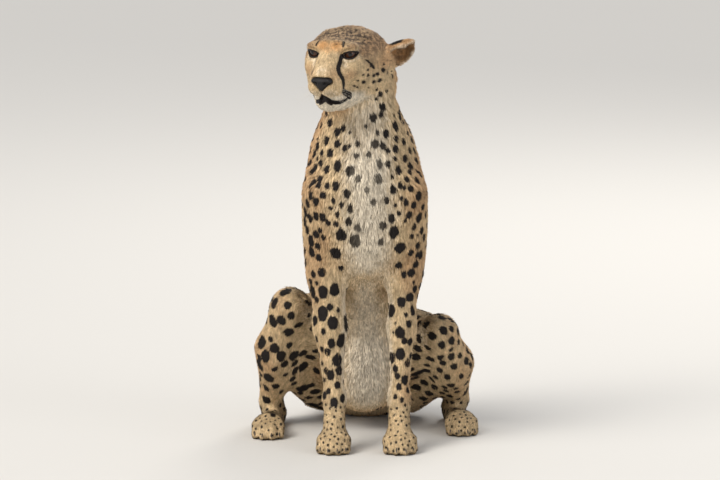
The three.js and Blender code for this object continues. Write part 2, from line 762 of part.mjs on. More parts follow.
function geometryOf(solid) {
  const mesh = solid.getMesh();
  return new THREE.BufferGeometry()
    .setAttribute("position", new THREE.BufferAttribute(mesh.vertProperties, 3))
    .setIndex(new THREE.BufferAttribute(mesh.triVerts, 1));
}

// The largest closed surface of a solid: loose scraps of a cut are dropped.
function largest(solid) {
  return solid.decompose().reduce((a, b) => (b.volume() > a.volume() ? b : a));
}

// A cell is the space in front of all its planes, each a point and a normal pointing in.
function cell(planes, spare) {
  const SPAN = 4000;
  let space = solidOf(new THREE.BoxGeometry(SPAN, SPAN, SPAN));
  for (const [point, towards] of planes) {
    const n = unit(towards);
    space = space.trimByPlane(n, dot(n, point) - spare);
  }
  return space;
}

const root = new THREE.Group();
const SHADES = {
  coat: new THREE.MeshStandardMaterial({ color: 0xc9a063, roughness: 0.85, metalness: 0 }),
  pale: new THREE.MeshStandardMaterial({ color: 0xe3d7bd, roughness: 0.85, metalness: 0 }),
  eye: new THREE.MeshStandardMaterial({ color: 0x7a4a18, roughness: 0.1, metalness: 0 }),
  nose: new THREE.MeshStandardMaterial({ color: 0x1a1614, roughness: 0.5, metalness: 0 }),
  claw: new THREE.MeshStandardMaterial({ color: 0x3a2f26, roughness: 0.4, metalness: 0 }),
};

function place(name, solid, shade) {
  const mesh = new THREE.Mesh(geometryOf(solid), SHADES[shade]);
  mesh.name = name;
  root.add(mesh);
}

// Cuts each named cell out of what is left of a solid, with the gap between them, and
// returns the rest.
function part(solid, cuts) {
  let rest = solid;
  for (const { name, planes, shade = "coat" } of cuts) {
    place(name, largest(rest.intersect(cell(planes, -GAP / 2))), shade);
    rest = rest.subtract(cell(planes, GAP / 2));
  }
  return rest;
}

// ---------------------------------------------------------------- claws, eyes and nose

const CLAW = { length: 13, radius: 3.3, sides: 5, rings: 3, sunk: 8, droop: 55 };

// A claw is a tapered horn that bends down towards its point.
function clawSolid({ root: base, ahead }, spare) {
  const points = [];
  const faces = [];
  const start = add(base, ahead, -CLAW.sunk);
  const total = CLAW.length + CLAW.sunk + spare;
  const side = cross(ahead, [0, 0, 1]);
  for (let i = 0; i < CLAW.rings; i++) {
    const t = i / CLAW.rings;
    const bend = rad(CLAW.droop) * t;
    const way = add(ahead.map((v) => v * Math.cos(bend)), [0, 0, -1], Math.sin(bend));
    const lift = cross(side, way);
    const middle = add(start, ahead, (Math.sin(bend) / rad(CLAW.droop)) * total - (i ? 0 : spare));
    middle[2] -= ((1 - Math.cos(bend)) / rad(CLAW.droop)) * total;
    const r = CLAW.radius * (1 - 0.8 * t * t) + spare;
    for (let j = 0; j < CLAW.sides; j++) {
      const a = (j / CLAW.sides) * 2 * Math.PI;
      points.push(add(add(middle, side, Math.cos(a) * r * 0.7), lift, Math.sin(a) * r));
    }
  }
  const bend = rad(CLAW.droop);
  const tip = add(start, ahead, (Math.sin(bend) / bend) * total);
  tip[2] -= ((1 - Math.cos(bend)) / bend) * total;
  points.push(tip);
  const end = points.length - 1;
  const ring = (i, j) => i * CLAW.sides + (j % CLAW.sides);
  for (let i = 0; i + 1 < CLAW.rings; i++)
    for (let j = 0; j < CLAW.sides; j++) {
      faces.push([ring(i, j), ring(i + 1, j), ring(i + 1, j + 1)]);
      faces.push([ring(i, j), ring(i + 1, j + 1), ring(i, j + 1)]);
    }
  const last = CLAW.rings - 1;
  for (let j = 0; j < CLAW.sides; j++) faces.push([ring(last, j), end, ring(last, j + 1)]);
  for (let j = 1; j + 1 < CLAW.sides; j++) faces.push([ring(0, 0), ring(0, j), ring(0, j + 1)]);
  let solid = solidFrom({ points, faces });
  if (solid.volume() < 0) solid = solidFrom({ points, faces: faces.map(([a, b, c]) => [a, c, b]) });
  return solid;
}

function eyeSolid(s, spare) {
  const ball = new THREE.SphereGeometry(EYE_RADIUS + spare, 16, 10);
  const eye = eyeFrame(s);
  const turn = new THREE.Matrix4().makeBasis(
    ...[eye.axes[1], eye.axes[0], eye.axes[2]].map((v) => new THREE.Vector3(...v)),
  );
  if (turn.determinant() < 0) turn.scale(new THREE.Vector3(1, 1, -1));
  ball.applyMatrix4(turn).translate(...eye.origin);
  return solidOf(ball);
}

// The nose leather: a broad rounded shield that narrows down to the groove, with a
// comma-shaped nostril on each side.
const NOSE_CELL = 1.7;
const NOSE_TRIANGLES = 420;

function noseSolid(spare) {
  const kept = flesh.splice(0);
  const part = (f, l, u, r, melt) => mass(HEAD.at(f, l, u), r.map((v) => v + spare), melt, HEAD);
  grow(
    part(59, 0, -38, [9.5, 18.5, 6.5], 5),
    part(60, 0, -42, [9, 14.5, 9], 5),
    part(59.5, 0, -47.5, [8, 9, 8.5], 5),
    part(58.5, 0, -52, [6.5, 4.5, 7], 4),
  );
  both((s) => grow(part(57.5, s * 14.5, -39, [8.5, 7.5, 5.5], 4)));
  if (!spare)
    both((s) => {
      carve(mass(HEAD.at(68, s * 10, -41.5), [6, 4.6, 3], 1.5, HEAD));
      carve(mass(HEAD.at(64, s * 16.5, -43.5), [5, 5, 1.8], 1.5, HEAD));
    });
  const low = HEAD.at(58, 0, -42).map((v) => v - 34);
  const high = HEAD.at(58, 0, -42).map((v) => v + 34);
  const made = thinned(netOf(low, high, NOSE_CELL), NOSE_TRIANGLES);
  flesh.splice(0, flesh.length, ...kept);
  return solidFrom(made);
}

// ---------------------------------------------------------------- parting the animal

const NECK_CUT = { point: HEAD.at(-84, 0, -74), towards: HEAD.turn(0.5, 0, 0.87) };
const neckCell = [[NECK_CUT.point, NECK_CUT.towards]];

const headMesh = thinned(netOf([-205, -175, 660], [85, 125, 885], HEAD_CELL), HEAD_TRIANGLES);
const bodyMesh = thinned(netOf([-245, -90, -30], [245, 1040, 800], BODY_CELL), BODY_TRIANGLES);

// A box round each ear, open to nothing else, so that the ear comes off whole.
const earCells = ["left", "right"].map((side) => {
  const f = earFrame(side);
  const bounds = [[4, 76], [-38, 38], [-27, 40]];
  return bounds.flatMap(([low, high], axis) => {
    const at = (v) => f.at(...[0, 1, 2].map((i) => (i === axis ? v : 0)));
    return [[at(low), f.axes[axis]], [at(high), f.axes[axis].map((v) => -v)]];
  });
});

const headWhole = solidFrom(headMesh);
earCells.forEach((planes, i) => {
  place(`ear_${["left", "right"][i]}`, largest(headWhole.intersect(cell(planes, -GAP / 2))), "coat");
});
let head = headWhole.intersect(cell(neckCell, -GAP / 2));
for (const planes of earCells) head = head.subtract(cell(planes, GAP / 2));
for (const s of [1, -1]) {
  place(s > 0 ? "eye_left" : "eye_right", eyeSolid(s, 0), "eye");
  head = head.subtract(eyeSolid(s, GAP));
}
place("nose", noseSolid(0), "nose");
place("head", largest(head.subtract(noseSolid(0.55))), "coat");

let body = solidFrom(bodyMesh).trimByPlane([0, 0, 1], 0);
for (const planes of [neckCell, ...earCells]) body = body.subtract(cell(planes, GAP / 2));
for (const claw of claws) {
  place(claw.name, clawSolid(claw, 0), "claw");
  body = body.subtract(clawSolid(claw, GAP));
}

const DOWN = [0, 0, -1];
const BACK = [0, 1, 0];
const AHEAD = [0, -1, 0];
const tailAt = (t) => tailCurve.getPointAt(t).toArray();
const tailWay = (t) => tailCurve.getTangentAt(t).toArray();

// Cells for one side's limbs, from the paws up.
function limbCuts(side) {
  const s = side === "left" ? 1 : -1;
  const out = [s, 0, 0];
  const { elbow, wrist } = FORELEGS[side];
  const { hip, knee, ankle } = HIND_LEGS[side];
  const hindFoot = feet[`hind_${side}`];
  const bend = sub(unit(sub(ankle, knee)), unit(sub(hip, knee)));
  const midline = [s * 20, 0, 0];
  const besideThigh = [s * 100, 0, 0];
  return [
    {
      name: `paw_front_${side}`,
      planes: [
        [add(wrist, [0, 0, -12]), [0, -0.1, -1]],
        [add(wrist, [0, 62, 0]), AHEAD],
        [midline, out],
        [[s * 128, 0, 0], [-s, 0, 0]],
      ],
    },
    {
      name: `forearm_${side}`,
      planes: [
        [add(elbow, [0, 0, -14]), [0, -0.35, -1]],
        [add(elbow, [0, 44, 0]), AHEAD],
        [[s * 31, 0, 0], out],
        [[s * 125, 0, 0], [-s, 0, 0]],
      ],
    },
    {
      name: `upper_arm_${side}`,
      planes: [
        [[s * 64, 0, 345], [s, 0, -0.1]],
        [[0, 0, 524], [0, -0.25, -1]],
        [[0, 118, 430], [0, -1, -0.2]],
        [[0, 60, 312], [0, 0.35, 1]],
        [[s * 132, 0, 0], [-s, 0, 0]],
      ],
    },
    {
      name: `paw_hind_${side}`,
      planes: [
        [hindFoot.at(-44, 0, 0), hindFoot.axes[0]],
        [[0, 0, 75], DOWN],
        [besideThigh, out],
      ],
    },
    {
      name: `hind_foot_${side}`,
      planes: [
        [add(ankle, [0, -22, 14]), [0, -0.12, -1]],
        [add(ankle, [-s * 38, 0, 0]), [s, 0, 0.25]],
      ],
    },
    {
      name: `shank_${side}`,
      planes: [
        [add(knee, [-s * 4, 6, 0]), add(bend, [s * 0.35, 0, 0])],
        [besideThigh, out],
      ],
    },
    {
      name: `thigh_${side}`,
      planes: [
        [[s * 68, 300, 128], [s, 0, 0.1]],
        [[s * 60, 150, 330], [s * 0.7, 0.2, -1]],
      ],
    },
  ];
}

body = part(body, [
  { name: "tail_tip", planes: [[tailAt(0.78), tailWay(0.78)], [tailAt(0.78), BACK]] },
  { name: "tail_end", planes: [[tailAt(0.53), tailWay(0.53)], [tailAt(0.5), BACK]] },
  { name: "tail_middle", planes: [[tailAt(0.3), tailWay(0.3)], [tailAt(0.28), BACK]] },
  { name: "tail_root", planes: [[tailAt(0.085), tailWay(0.085)], [[0, 430, 0], BACK]] },
  ...limbCuts("left"),
  ...limbCuts("right"),
  { name: "neck", planes: [[[0, 24, 636], [0, -0.25, 1]]] },
  { name: "rump", planes: [[[0, 262, 212], [0, 0.62, -0.78]]] },
  { name: "loins", planes: [[[0, 172, 350], [0, 0.58, -0.81]]] },
]);
place("chest", largest(body), "coat");

// ---------------------------------------------------------------- standing on the origin

const box = new THREE.Box3().setFromObject(root);
const middle = box.getCenter(new THREE.Vector3());
root.position.set(-middle.x, -middle.y, -box.min.z);

export default root;
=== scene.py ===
# %% [markdown]
# # A sitting cheetah, life size
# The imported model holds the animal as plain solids: head, ears, neck, trunk, limbs, tail, eyes, nose and
# claws. This lesson dresses it. One seamless skin is drawn over the flesh, its markings are worked out on
# the skin itself, and a short coat of small mesh tufts is laid over it along the way real hair lies.
# Everything is in metres, in the solids' own frame, so each piece is placed by what carries it and not by
# eye.

# %% The solids
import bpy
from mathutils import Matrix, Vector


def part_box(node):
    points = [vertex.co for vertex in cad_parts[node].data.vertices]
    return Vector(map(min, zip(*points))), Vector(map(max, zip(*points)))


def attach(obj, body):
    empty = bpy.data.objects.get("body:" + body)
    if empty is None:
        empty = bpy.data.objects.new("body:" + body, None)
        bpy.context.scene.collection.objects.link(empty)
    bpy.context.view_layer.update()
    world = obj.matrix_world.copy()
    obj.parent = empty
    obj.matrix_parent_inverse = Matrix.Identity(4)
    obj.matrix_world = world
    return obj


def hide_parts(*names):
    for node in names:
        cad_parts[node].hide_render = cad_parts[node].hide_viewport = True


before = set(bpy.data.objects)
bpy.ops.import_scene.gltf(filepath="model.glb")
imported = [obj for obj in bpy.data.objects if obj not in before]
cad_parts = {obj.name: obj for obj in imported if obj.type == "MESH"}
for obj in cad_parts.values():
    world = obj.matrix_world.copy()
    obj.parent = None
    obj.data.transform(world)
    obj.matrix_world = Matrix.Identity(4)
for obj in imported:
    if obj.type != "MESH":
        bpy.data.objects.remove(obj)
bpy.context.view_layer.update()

import math
import bpy
import bmesh
import numpy as np
from mathutils import Vector
from mathutils.bvhtree import BVHTree
from mathutils.kdtree import KDTree

scene = bpy.context.scene
MM = .001
random = np.random.default_rng(11)

# %% [markdown]
# ## Camera
# The animal is met at eye level from a few steps away, a little from above, with a long lens, so its
# proportions stay true. The camera comes first, because every later choice of detail depends on what it
# sees.

# %% Camera
def set_up(name, data):
    """A new object of the given data, standing in the scene."""
    thing = bpy.data.objects.new(name, data)
    scene.collection.objects.link(thing)
    return thing


AIM, DISTANCE, RISE = Vector((-.0104, -.3199, .4093)), 10, math.radians(9)
lens = bpy.data.cameras.new("long_lens")
lens.lens, lens.sensor_width = 250, 36
camera = set_up("camera", lens)
camera.location = AIM + DISTANCE * Vector((0, -math.cos(RISE), math.sin(RISE)))
camera.rotation_euler = (math.pi / 2 - RISE, 0, 0)
scene.camera = camera
print("camera at", tuple(round(c, 3) for c in camera.location))

# %% [markdown]
# ## Floor and light
# A pale floor and large soft lamps show form and coat without hard shadows. Big lamps close by are softer
# than small ones far off. A wide far light keeps the floor evenly pale into the distance, and the sky fills
# the rest.

# %% Floor and light
def facing_along(line):
    return Vector(line).to_track_quat("-Z", "Y").to_euler()


def lamp(name, place, aim, size, watts, tint):
    light = bpy.data.lights.new(name, "AREA")
    light.shape, light.size, light.energy, light.color = "DISK", size, watts, tint
    thing = set_up(name, light)
    thing.location, thing.rotation_euler = place, facing_along(Vector(aim) - Vector(place))


lamp("key_lamp", (-2.9, -2.9, 3.4), (0, -.2, .45), 1.6, 57, (1, .96, .9))
lamp("fill_lamp", (3.4, -2.6, 1.8), (0, -.2, .4), 2.6, 34, (.95, .97, 1))
lamp("rim_lamp", (1.4, 3.0, 3.0), (0, 0, .4), 1.8, 60, (1, .97, .93))
far_light = bpy.data.lights.new("far_light", "SUN")
far_light.energy, far_light.angle, far_light.color = 2.15, math.radians(40), (1, .97, .93)
set_up("far_light", far_light).rotation_euler = facing_along((.78, .72, -1.05))
sky = bpy.data.worlds.new("sky")
sky.use_nodes = True
glow = sky.node_tree.nodes["Background"].inputs
glow["Color"].default_value, glow["Strength"].default_value = (.93, .95, 1, 1), .52
scene.world = sky
scene.view_settings.view_transform = "Standard"

FAR = 60
floor_mesh = bpy.data.meshes.new("floor")
floor_mesh.from_pydata([(-FAR, -FAR, 0), (FAR, -FAR, 0), (FAR, FAR, 0), (-FAR, FAR, 0)], [], [(0, 1, 2, 3)])
plaster = bpy.data.materials.new("pale_floor")
plaster.use_nodes = True
matt = plaster.node_tree.nodes["Principled BSDF"].inputs
matt["Base Color"].default_value, matt["Roughness"].default_value = (.66, .64, .6, 1), .8
floor_mesh.materials.append(plaster)
floor = set_up("floor", floor_mesh)
print("floor", 2 * FAR, "m wide")

# %% [markdown]
# ## The skin
# Under the coat a real animal is one closed skin. The solids of flesh have thin gaps between them, so each
# is swelled by a hair's breadth until they run into each other, and a voxel remesh turns the lot into one
# surface. The solids' flat facets are then eased away by letting each point drift to the middle of its
# neighbours. That also shrinks a form, so the loss is measured, smoothed and given back along the surface.

# %% Reading a mesh
def read(items, what, width, kind=np.float32):
    """The values of a mesh's items, so many in a row."""
    flat = np.empty(len(items) * width, kind)
    items.foreach_get(what, flat)
    return flat.reshape(-1, width)


def points_of(mesh):
    return read(mesh.vertices, "co", 3).astype(float)


def normals_of(mesh):
    return read(mesh.vertex_normals, "vector", 3).astype(float)


def triangles_of(mesh):
    mesh.calc_loop_triangles()
    return read(mesh.loop_triangles, "vertices", 3, np.int32)


def redraw(mesh, points):
    mesh.vertices.foreach_set("co", points.astype(np.float32).ravel())
    mesh.update()


def unit(v):
    return v / np.maximum(np.linalg.norm(v, axis=-1, keepdims=True), 1e-9)

# %% One skin from many solids
def gathered(nodes, swell):
    """The points and triangles of some solids in one list each, and every triangle's solid."""
    points, faces = [], []
    for node in nodes:
        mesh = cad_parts[node].data
        faces.append(triangles_of(mesh) + sum(len(p) for p in points))
        points.append(points_of(mesh) + normals_of(mesh) * swell(node))
    return np.vstack(points), np.vstack(faces), np.repeat(np.arange(len(nodes)), [len(f) for f in faces])


def settled(thing):
    """The object's mesh with its modifiers worked in."""
    bpy.context.view_layer.update()
    done = bpy.data.meshes.new_from_object(thing.evaluated_get(bpy.context.evaluated_depsgraph_get()))
    thing.modifiers.clear()
    old, thing.data = thing.data, done
    bpy.data.meshes.remove(old)
    return done


def remeshed(name, points, faces, voxel):
    """One closed surface around all that is given."""
    mesh = bpy.data.meshes.new(name)
    mesh.from_pydata(points.tolist(), [], faces.tolist())
    made = set_up(name, mesh)
    evener = made.modifiers.new("even", "REMESH")
    evener.mode, evener.voxel_size = "VOXEL", voxel
    settled(made)
    return made


APART = ("claw", "eye", "nose")
SWELL, THIN_SWELL, SKIN_VOXEL = .0004, .0002, .0021
flesh = [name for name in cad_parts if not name.startswith(APART)]
flesh_points, flesh_faces, flesh_home = gathered(
    flesh, lambda name: THIN_SWELL if name.startswith(("ear", "paw")) else SWELL)
skin = remeshed("skin", flesh_points, flesh_faces, SKIN_VOXEL)
skin_mesh = skin.data
print("remeshed skin:", len(skin_mesh.vertices), "points")

# %% Which solid each point belongs to
def surface(points, faces):
    return BVHTree.FromPolygons(points.tolist(), faces.tolist())


flesh_tree = surface(flesh_points, flesh_faces)
flesh_names = np.array(flesh)


def homes(points):
    """For each point, the number of the solid of flesh nearest to it."""
    return flesh_home[[flesh_tree.find_nearest(p)[2] for p in points.tolist()]]


class Web:
    """The threads between a surface's points, along which values are spread."""

    def __init__(self, mesh):
        self.a, self.b = read(mesh.edges, "vertices", 2, np.int32).T
        self.count = len(mesh.vertices)
        self.near = np.bincount(np.r_[self.a, self.b], minlength=self.count).clip(1)

    def mean(self, v):
        if v.ndim > 1:
            return np.stack([self.mean(v[:, i]) for i in range(v.shape[1])], 1)
        total = np.bincount(self.a, v[self.b], self.count) + np.bincount(self.b, v[self.a], self.count)
        return total / self.near

    def spread(self, v, rounds, rate=.7):
        rate = rate if np.isscalar(rate) or v.ndim == 1 else rate[:, None]
        for _ in range(rounds):
            v = v + rate * (self.mean(v) - v)
        return v


def by_home(home, table, fallback):
    """One value a point from a table of name beginnings, the first that fits."""
    values = [next((value for start, value in table if name.startswith(start)), fallback) for name in flesh]
    return np.array(values, float)[home]

# %% Easing the facets away
web = Web(skin_mesh)
home = homes(points_of(skin_mesh))
raw, raw_normals = points_of(skin_mesh), normals_of(skin_mesh)
ease = by_home(home, [("head", .07), ("ear", .05), ("paw", .1), ("tail", .45), ("hind_foot", .4),
                      ("forearm", .5), ("shank", .5)], .72)
ease = web.spread(ease, 12)
smooth = web.spread(raw, 60, ease)
lost = web.spread(np.einsum("ij,ij->i", raw - smooth, raw_normals), 40)
redraw(skin_mesh, smooth)
redraw(skin_mesh, smooth + normals_of(skin_mesh) * lost[:, None])
print("given back: up to", round(float(lost.max()) / MM, 2), "mm")

# %% [markdown]
# ## Points where they are needed
# The trunk is broad and plain, the face and paws are small and busy. Collapsing points on the trunk only
# keeps the skin light, and one more division round the eyes, nose and mouth leaves room for lids and lips.

# %% Fewer points on the body, more on the face
E, FORWARD = np.array((-.0664, -.5019, .806)), np.array((-.3540, -.9221, -.1564))
LEFT, UP = np.array((.9336, -.3584, 0)), np.array((-.0561, -.1460, .9877))
HEAD_ROWS, HEAD_COLUMNS = np.stack([FORWARD, LEFT, UP]), np.stack([FORWARD, LEFT, UP], 1)


def to_head(points):
    """Millimetres forward, to its left and up, from the point between the eyes."""
    return (points - E) @ HEAD_COLUMNS / MM


def from_head(forward, left, up):
    return E + (forward * FORWARD + left * LEFT + up * UP) * MM


SKIN_TRIANGLES, FACE_FROM, LEVELS = 177000, -32, 10
face_mm = to_head(points_of(skin_mesh))
keep = by_home(home, [("head", .25), ("ear", 0), ("paw", .3)], 1)
keep = web.spread(np.where((face_mm[:, 0] > FACE_FROM) & (keep == .25), 0, keep), 2)
may_go = skin.vertex_groups.new(name="may_go")
for level in range(LEVELS + 1):
    may_go.add(np.flatnonzero(np.rint(keep * LEVELS) == level).tolist(), level / LEVELS, "REPLACE")
fewer = skin.modifiers.new("fewer", "DECIMATE")
fewer.vertex_group, fewer.use_collapse_triangulate = may_go.name, True
fewer.ratio = SKIN_TRIANGLES / len(triangles_of(skin_mesh))
skin_mesh = settled(skin)
print("skin after thinning:", len(skin_mesh.polygons), "faces")

# %% [markdown]
# ## The face
# The solids give the skull, the lids and a groove for the mouth. The skin needs what lies between: a mouth
# that is a real fold with lips on both sides, rims on the lids that hug the eyeballs, and a furrow below the
# nose. All are written in the head's own directions, so that both sides match.

# %% Eyes in their sockets
EYE_RADIUS = 15.5
turn, tilt = math.radians(27), math.radians(6)
EYE_BACK, EYE_OUT = -13.5, 40 - EYE_RADIUS * math.sin(turn)
SLIT_LENGTH, SLIT_ABOVE, SLIT_BELOW = 33, 4.8, 6.2
GAZE = np.array((math.cos(turn), math.sin(turn), 0))
FLAT = unit(np.array((-math.sin(turn) * .9, math.cos(turn), 0)))
LID_OUT = FLAT * math.cos(tilt) + np.array((0, 0, math.sin(tilt)))
LID_UP = np.array((0, 0, math.cos(tilt))) - FLAT * math.sin(tilt)


def mirrored(h):
    """Both sides of the head folded onto its left."""
    return np.stack([h[:, 0], abs(h[:, 1]), h[:, 2]], 1)


def from_slit(h):
    """How far each point of the folded head is outside the opening between the lids, in mm."""
    p = h - np.array((EYE_BACK, EYE_OUT, 0))
    a, b, ahead = p @ LID_OUT, p @ LID_UP, p @ GAZE
    t = np.clip(a / (SLIT_LENGTH / 2), -1, 1)
    bow = 1 - t * t
    beside = np.maximum(abs(a) - SLIT_LENGTH / 2, 0)
    over = np.maximum(b - SLIT_ABOVE * bow, -b - SLIT_BELOW * bow) * .85
    gap = np.where(beside > 0, np.hypot(beside, abs(b)), over)
    return np.where(ahead > 0, gap, 60)


def along(h, path):
    """Distance outside a path of (forward, left, up, half width), and the share run along it."""
    path = np.array(path, float)
    best, share = np.full(len(h), 1e3), np.zeros(len(h))
    for i in range(len(path) - 1):
        p, q = path[i, :3], path[i + 1, :3]
        t = np.clip((h - p) @ (q - p) / max((q - p) @ (q - p), 1e-9), 0, 1)
        width = path[i, 3] + t * (path[i + 1, 3] - path[i, 3])
        d = np.linalg.norm(h - p - t[:, None] * (q - p), axis=1) - width
        closer = d < best
        best, share = np.where(closer, d, best), np.where(closer, (i + t) / (len(path) - 1), share)
    return best, share


def laid(path, mesh, parts=5):
    """A path of (forward, left, up, half width) with more points, each slid onto the skin."""
    path = np.array(path, float)
    at = np.linspace(0, len(path) - 1, (len(path) - 1) * parts + 1)
    dense = np.stack([np.interp(at, range(len(path)), path[:, k]) for k in range(4)], 1)
    tree = surface(points_of(mesh), triangles_of(mesh))
    on_skin = [tree.find_nearest(from_head(*row[:3]).tolist())[0] for row in dense]
    dense[:, :3] = to_head(np.array(on_skin))
    return dense


def bump(d, width):
    return np.exp(-np.square(d / width))


def step(x, low, high):
    t = np.clip((x - low) / (high - low), 0, 1)
    return t * t * (3 - 2 * t)

# %% Finer skin round the eyes, nose and mouth
LIPS = [(59, 0, -67, 2.0), (50.3, 3.8, -73.1, 3.2), (44.8, 9.8, -84, 3.6), (41, 18.7, -87.4, 3.3),
        (31.8, 25.6, -89, 2.8), (18.4, 32.3, -87.5, 2.2), (7.4, 38.6, -79.9, 1.8)]
FURROW = [(68, 0, -54, 0), (65, 0, -60, 0), (59, 0, -67, 0)]
NOSE_MIDDLE = to_head(np.mean([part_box("nose")], axis=1))[0]


def busy(h):
    """True where the face has small forms: within so many mm of the lids, the lips and the nose."""
    h = mirrored(h)
    near_nose = np.linalg.norm(h - NOSE_MIDDLE, axis=1) < 23
    return (abs(from_slit(h)) < 7) | (along(h, LIPS)[0] < 8) | near_nose


shape = bmesh.new()
shape.from_mesh(skin_mesh)
shape.verts.ensure_lookup_table()
fine = busy(to_head(points_of(skin_mesh)))
chosen = [e for e in shape.edges if fine[e.verts[0].index] and fine[e.verts[1].index]]
bmesh.ops.subdivide_edges(shape, edges=chosen, cuts=1, smooth=0)
bmesh.ops.triangulate(shape, faces=[f for f in shape.faces if len(f.verts) > 3])
shape.to_mesh(skin_mesh)
shape.free()
skin_mesh.update()
print("skin with a finer face:", len(skin_mesh.polygons), "faces")

# %% Lips, furrow and lids
LINING = [2.2, 3.7, 4.6, 4.5, 4.1, 3.4, 3.0]
LOWER_LIP = [(51, 0, -73, 3.6), (48, 0, -79, 4.6), (46.5, 6, -84.5, 4.0), (45, 12, -88.5, 3.2)]
lip_fold = np.c_[np.array(LIPS)[:, :3] + (0, 0, 1), LINING]


def mouth_edge(h):
    """How far each point of the folded head is outside the bare black lips, in mm."""
    return np.minimum(along(h, lip_fold)[0], along(h, LOWER_LIP)[0])


web = Web(skin_mesh)
points, normals = points_of(skin_mesh), normals_of(skin_mesh)
head_mm = to_head(points)
folded = mirrored(head_mm)
lip_line = np.array(LIPS)
lip_gap, lip_share = along(folded, lip_line)
lining = mouth_edge(folded)
line_up = np.interp(lip_share * (len(lip_line) - 1), range(len(lip_line)), lip_line[:, 2])
ahead, out, up = folded.T
above = up - line_up
near_lips = step(lip_gap, 16, 8)
slit_gap = from_slit(folded)
slim = np.linalg.norm((folded - np.array((34, 38, -50))) / np.array((24, 13, 24)), axis=1)
push = (1.5 * bump(lip_gap - 2.6, 2.4) * step(above, -.5, 2) * near_lips  # upper lip
        + 1.3 * bump(lip_gap - 1.6, 2.2) * step(-above, .5, 3) * near_lips  # lower lip
        - 1.8 * bump(along(folded, laid(FURROW, skin_mesh))[0], 1.4)  # furrow under the nose
        + 1.1 * bump(slit_gap - 1.6, 1.5)  # rims of the lids
        - 1.0 * bump(slit_gap - 6.0, 1.8) * step(up, -4, 4)  # fold over the upper lid
        - 2.6 * bump(slim, 1)  # slim muzzle behind the whisker pads
        # low, flat crown between the ears
        - 4.2 * (step(up, 3, 16) * step(out, 54, 28)) * step(ahead, 2, -22) * step(ahead, -132, -104))
inward = unit(np.array((14, 0, -76)) - folded)
inward[:, 1] *= np.sign(head_mm[:, 1])
inward = inward @ HEAD_ROWS
DEEPEST = 4.2
sink = DEEPEST * bump(np.maximum(lip_gap + 2.2, 0), 1.9) * (step(lip_share, 1.0, .9) * .6 + .4)
redraw(skin_mesh, points + (normals * push[:, None] + inward * sink[:, None]) * MM)
print("deepest fold", round(float(sink.max()), 1), "mm")

# %% [markdown]
# ## How the coat lies
# Hair points away from the nose over the skull, down the neck and trunk, and along each limb to its toes.
# Each solid gets the way of its own bone, and the ways are then spread over the skin so that they turn
# smoothly where two forms meet. The skin is drawn in by the coat's own depth, so that the tips of the hair,
# not the skin, reach the animal's true outline.

# %% The way of the hair
def middle(name):
    return np.mean(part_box(name), axis=0)


def toward(a, b):
    return unit(np.array(b, float) - np.array(a, float))


LEFT_HIP, LEFT_KNEE, LEFT_ANKLE = (.052, -.095, .122), (.148, -.268, .208), (.190, -.108, .044)
RIGHT_HIP, RIGHT_KNEE, RIGHT_ANKLE = (-.052, -.095, .128), (-.150, -.270, .262), (-.192, -.144, .044)
WAYS = {
    "neck": (0, .22, -1), "chest": (0, .4, -1), "loins": (0, .7, -1), "rump": (0, .5, -1),
    "upper_arm": (0, .15, -1), "forearm": (0, -.05, -1), "paw": (0, -1, -.45), "hind_foot": (0, -1, -.1),
    "thigh_left": toward(LEFT_HIP, LEFT_KNEE) + (0, 0, -.5), "shank_left": toward(LEFT_KNEE, LEFT_ANKLE),
    "thigh_right": toward(RIGHT_HIP, RIGHT_KNEE) + (0, 0, -.5),
    "shank_right": toward(RIGHT_KNEE, RIGHT_ANKLE),
}
TAIL_LINE = np.array([(0, -.018, .084), (0, .028, .040), (.006, .09, .020), (.028, .18, .017),
                      (.054, .28, .016), (.052, .38, .015), (.014, .47, .015), (-.03, .548, .015)])


def flat_to(v, normals):
    return v - normals * np.einsum("ij,ij->i", v, normals)[:, None]


points, normals = points_of(skin_mesh), normals_of(skin_mesh)
head_mm = to_head(points)
home = homes(points)
named = flesh_names[home]
tail_way = unit(np.gradient(TAIL_LINE, axis=0))
way = np.zeros_like(points)
for i, name in enumerate(flesh):
    mine = home == i
    for beginning, direction in WAYS.items():
        if name.startswith(beginning):
            way[mine] = unit(np.array(direction, float))
            break
    if name.startswith("tail"):
        way[mine] = tail_way[np.argmin(np.linalg.norm(points[mine][:, None] - TAIL_LINE, axis=2), axis=1)]
    if name == "head":
        source = head_mm[mine] - np.array((64, 0, -30))
        source[:, 2] -= 26 * step(-head_mm[mine][:, 0], -20, 50)
        way[mine] = unit(source @ HEAD_ROWS)
    if name.startswith("ear"):
        root = middle("head") + (middle(name) - middle("head")) * .72
        way[mine] = unit(points[mine] - root)
way = web.spread(way, 30)
way = unit(flat_to(way, normals))
print("hair ways set on", len(way), "points")

# %% How long and how deep the hair is
def begins(names, *beginnings):
    """True for each name that begins in one of the given ways."""
    return np.any([np.char.startswith(names, b) for b in beginnings], axis=0)


hair = by_home(home, [("head", 5.2), ("ear", 4.6), ("neck", 12), ("chest", 12), ("loins", 13), ("rump", 10),
                      ("upper_arm", 9), ("forearm", 7), ("paw", 4), ("thigh", 10), ("shank", 8),
                      ("hind_foot", 6), ("tail_root", 11), ("tail_middle", 12), ("tail_end", 14),
                      ("tail_tip", 19)], 8)
x, _, z = points.T
is_head = named == "head"
forward, side, up = head_mm[:, 0], abs(head_mm[:, 1]), head_mm[:, 2]
ruff = step(forward, -15, -60) * step(up, -5, -35)
hair = np.where(is_head, 3.0 + 2.4 * step(forward, 40, -10) + 3.6 * step(forward, -20, -70) + 4.5 * ruff
                + 6 * step(up, -58, -98) * step(forward, 30, -20), hair)
hair += 5 * (named == "neck") * step(normals[:, 1], -.1, .6)
front = step(-normals[:, 1], .2, .8)
mid_chest = np.isin(named, ("chest", "neck", "loins")) * front * step(abs(x), .075, .02)
